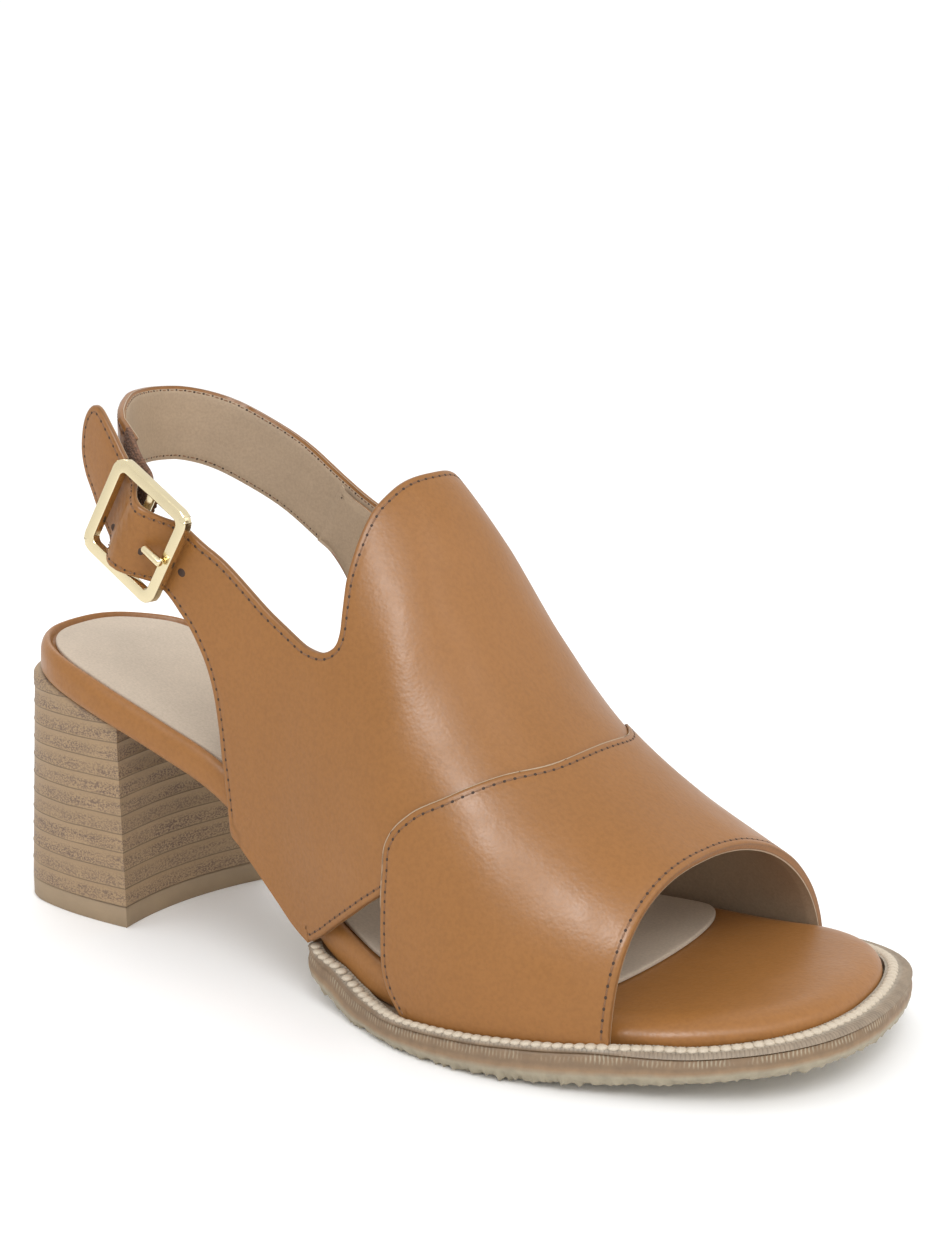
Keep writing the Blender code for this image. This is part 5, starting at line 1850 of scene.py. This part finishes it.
class SandalMakeWelt(bpy.types.Operator):
    """Make the ribbed welt and the row of pale stitches on it"""

    bl_idname = "sandal.make_welt"
    bl_label = "Welt"

    def execute(self, context):
        sole = context.scene.sandal_sole
        track = welt_track()
        count = len(track) - 1
        pitch = sole.rib_pitch / MM
        bm = bmesh.new()
        rib = bm.verts.layers.float.new("rib")
        stained = bm.verts.layers.float.new("stained")
        bmesh.ops.create_grid(bm, x_segments=count, y_segments=WELT_ROWS, size=1.0)
        thicken(bm)
        for v in bm.verts:
            i = int(round((v.co.x + 1.0) * 0.5 * count))
            share = (v.co.y + 1.0) * 0.5
            spot, inward, width = track[i]
            along_welt = i * WELT_STEP + share * width * RIB_SLANT
            notch = 0.5 + 0.5 * math.cos(2.0 * math.pi * along_welt / pitch)
            v[rib] = notch
            bead_reach, bead_half = bead_place(spot.x, width)
            outside = max(bead_reach - bead_half, 0.1) / width
            toe = ease(*WELT_TOE, spot.x)
            stain = 1.0 - (1.0 - STAIN_AT_TOE) * toe
            v[stained] = stain * (1.0 - ease(0.6 * outside, outside + 0.05, share))
            if v.co.z > 0.5:
                high = along(WELT_PROFILE, 1, share) + RIB_DEEP * (notch - 1.0)
                reach = share * width - RIB_OUT * notch * (1.0 - ease(0.0, 0.2, share))
            else:
                high = WELT_SEAT
                reach = share * width
            v.co = spot + inward * reach + UP * high
        # The ribs take the welt thread's colour darkened to 0.86, painted shade beside the beads
        ribs = welt_strip("welt_ribs", tint(sole.welt, 0.86), sole.stain)
        finish_piece(bm, "welt_strip", (ribs,), ("welt",), sharp=70.0)

        beads = bmesh.new()
        bead = sole.bead_pitch / MM
        steps = max(int(round(bead / WELT_STEP)), 1)
        places = []
        for i in range(4, count - 3, steps):
            spot, inward, width = track[i]
            run = Vector((inward.y, -inward.x, 0.0))
            reach, half = bead_place(spot.x, width)
            slant = (run + inward * BEAD_SLANT).normalized()
            turn = stand(spot + inward * reach + UP * BEAD_RISE, slant, UP.cross(slant), UP)
            places.append((turn @ stretch(bead * BEAD_LONG, half, BEAD_HIGH), 0))
        add_beads(beads, places, 12, 6)
        thread = sewing_thread("welt_thread", sole.welt, 0.6)
        finish_piece(beads, "welt_stitches", (thread,), sharp=80.0)
        return {"FINISHED"}


def heel_block(levels):
    """Solid through the heel's plan at several levels of (share of height, inset, height)."""
    bm = bmesh.new()
    base = heel_loop(0.0)
    face = bm.faces.new([bm.verts.new((x, y, 0.0)) for x, y in base])
    faces = [face]
    ring = list(face.verts)
    for k, (share, inward, height) in enumerate(levels):
        if k:
            made = bmesh.ops.extrude_face_region(bm, geom=faces)
            if k > 1:
                bmesh.ops.delete(bm, geom=faces, context="FACES_ONLY")
            faces = new_of(made, bmesh.types.BMFace)
            ring = list(faces[0].verts)
        loop = drawn_in(heel_loop(share), inward)
        for v in ring:
            i = min(range(len(base)), key=lambda k: math.dist(base[k], (v.co.x, v.co.y)))
            x, y = loop[i]
            v.co = (x, y, height(x, share))
        base = loop
    return bm


class SandalMakeHeel(bpy.types.Operator):
    """Make the stacked heel and the rubber lift under it"""

    bl_idname = "sandal.make_heel"
    bl_label = "Heel"

    def execute(self, context):
        sole = context.scene.sandal_sole
        floor = LIFT_PIECE + LIFT_GAP
        layer = (STACK_TOP - floor) / sole.layers

        def level(x, share):
            seat = bed_under(x) - CLEAR
            return seat + (floor - seat) * share

        levels = [(share, inward, level) for share, inward in HEEL_SEAT]
        seat_share = HEEL_SEAT[-1][0]
        for k in range(1, HEEL_PARTS + 1):
            levels.append((seat_share + (1.0 - seat_share) * k / HEEL_PARTS, 0.0, level))
        bm = heel_block(levels)
        for k in range(1, sole.layers):
            for step in (-LAYER_NOTCH_HALF, 0.0, LAYER_NOTCH_HALF):
                cut_at(bm, UP * (floor + layer * k + step), UP, LAYER_CUT_NEAR)
        bm.normal_update()
        bmesh.ops.recalc_face_normals(bm, faces=bm.faces[:])
        ways = {v: v.normal.copy() for v in bm.verts}
        for v, out in ways.items():
            within = (v.co.z - floor) / layer
            if abs(within - round(within)) * layer < 0.05 and floor + 1.0 < v.co.z:
                v.co -= Vector((out.x, out.y, 0.0)) * LAYER_NOTCH
        stack = heel_stack("stacked_leather", sole.stack, sole.fibre, layer * MM, floor * MM)
        finish_piece(bm, "heel_stack", (stack,), ("heel",), sharp=45.0)

        lift = heel_block((
            # share of the heel's height, inset, height
            (1.0, 0.35, flat(0.0)),
            (1.0, 0.0, flat(0.4)),
            (1.0, 0.0, flat(LIFT_PIECE - 0.5)),
            (1.0, 0.3, flat(LIFT_PIECE - LIFT_GAP)),
        ))
        rubber = lift_rubber("lift_rubber", sole.lift)
        finish_piece(lift, "heel_lift", (rubber,), ("top_piece",), sharp=45.0)
        return {"FINISHED"}


# Stage

class SandalMakeStage(bpy.types.Operator):
    """Make the floor, the light and the camera"""

    bl_idname = "sandal.make_stage"
    bl_label = "Stage"

    def execute(self, context):
        stage = context.scene.sandal_stage
        scene = context.scene
        bm = bmesh.new()
        bmesh.ops.create_grid(bm, x_segments=1, y_segments=1, size=FLOOR_HALF)
        mesh = bpy.data.meshes.new("studio_floor")
        bm.to_mesh(mesh)
        bm.free()
        material, _, _ = new_material("studio_floor", stage.floor, 0.9)
        mesh.materials.append(material)
        floor = bpy.data.objects.new("studio_floor", mesh)
        scene.collection.objects.link(floor)

        world = bpy.data.worlds.new("studio")
        world.use_nodes = True
        background = world.node_tree.nodes["Background"]
        background.inputs["Color"].default_value = (1.0, 1.0, 1.0, 1.0)
        background.inputs["Strength"].default_value = SKY_STRENGTH
        scene.world = world
        lights = (
            # name, place, aim, size, watts
            ("key_softbox", (0.60, -0.55, 0.90), (0.02, 0.0, 0.06), 0.55, 4.2),
            ("side_softbox", (0.75, 0.55, 0.55), (0.02, 0.0, 0.06), 0.5, 0.8),
            ("back_softbox", (-0.65, 0.35, 0.8), (0.0, 0.0, 0.06), 0.6, 1.8),
            ("lateral_shine", (0.11, -0.60, 0.625), (0.03, -0.04, 0.065), 0.24, 7.5),
            ("front_shine", (0.55, 0.076, 0.68), (0.03, -0.02, 0.085), 0.3, 1.0),
        )
        for name, place, aim, size, watts in lights:
            lamp = bpy.data.lights.new(name, "AREA")
            lamp.size = size
            lamp.energy = watts
            thing = bpy.data.objects.new(name, lamp)
            thing.location = place
            thing.rotation_euler = (Vector(aim) - Vector(place)).to_track_quat("-Z", "Y").to_euler()
            scene.collection.objects.link(thing)
            thing.visible_diffuse = not name.endswith("shine")

        lens = bpy.data.cameras.new("photo_camera")
        lens.sensor_width = FILM
        lens.sensor_height = FILM
        lens.sensor_fit = "AUTO"
        lens.lens = stage.lens
        lens.clip_start = NEAR_CLIP
        camera = bpy.data.objects.new("photo_camera", lens)
        camera.location = stage.place
        camera.rotation_euler = (stage.tilt, 0.0, stage.azimuth)
        scene.collection.objects.link(camera)
        scene.camera = camera
        scene.view_settings.view_transform = "Standard"
        return {"FINISHED"}


class SandalPanel(bpy.types.Panel):
    """Lists the operators that make the sandal"""

    bl_idname = "SANDAL_PT_pieces"
    bl_label = "Slingback sandal"
    bl_space_type = "VIEW_3D"
    bl_region_type = "UI"
    bl_category = "Sandal"

    def draw(self, context):
        for name in ("leather", "sole", "hardware", "stage"):
            group = getattr(context.scene, "sandal_" + name)
            box = self.layout.box()
            for key in group.__annotations__:
                box.prop(group, key)
        for operator in OPERATORS:
            self.layout.operator(operator.bl_idname)


OPERATORS = (
    SandalMakeStage,
    SandalMakeSole,
    SandalMakeWelt,
    SandalMakeHeel,
    SandalMakeFootbed,
    SandalMakeUpper,
    SandalMakeSling,
    SandalMakeElastic,
    SandalMakeBuckle,
)
GROUPS = (
    ("sandal_leather", SandalLeather),
    ("sandal_sole", SandalSole),
    ("sandal_hardware", SandalHardware),
    ("sandal_stage", SandalStage),
)


def register():
    for name, group in GROUPS:
        bpy.utils.register_class(group)
        setattr(bpy.types.Scene, name, PointerProperty(type=group))
    for operator in OPERATORS:
        bpy.utils.register_class(operator)
    bpy.utils.register_class(SandalPanel)


def unregister():
    bpy.utils.unregister_class(SandalPanel)
    for operator in reversed(OPERATORS):
        bpy.utils.unregister_class(operator)
    for name, group in reversed(GROUPS):
        delattr(bpy.types.Scene, name)
        bpy.utils.unregister_class(group)


def main():
    register()
    bpy.ops.sandal.make_stage()
    bpy.ops.sandal.make_sole()
    bpy.ops.sandal.make_welt()
    bpy.ops.sandal.make_heel()
    bpy.ops.sandal.make_footbed()
    bpy.ops.sandal.make_upper()
    bpy.ops.sandal.make_sling()
    bpy.ops.sandal.make_elastic()
    bpy.ops.sandal.make_buckle()


if __name__ == "__main__":
    main()
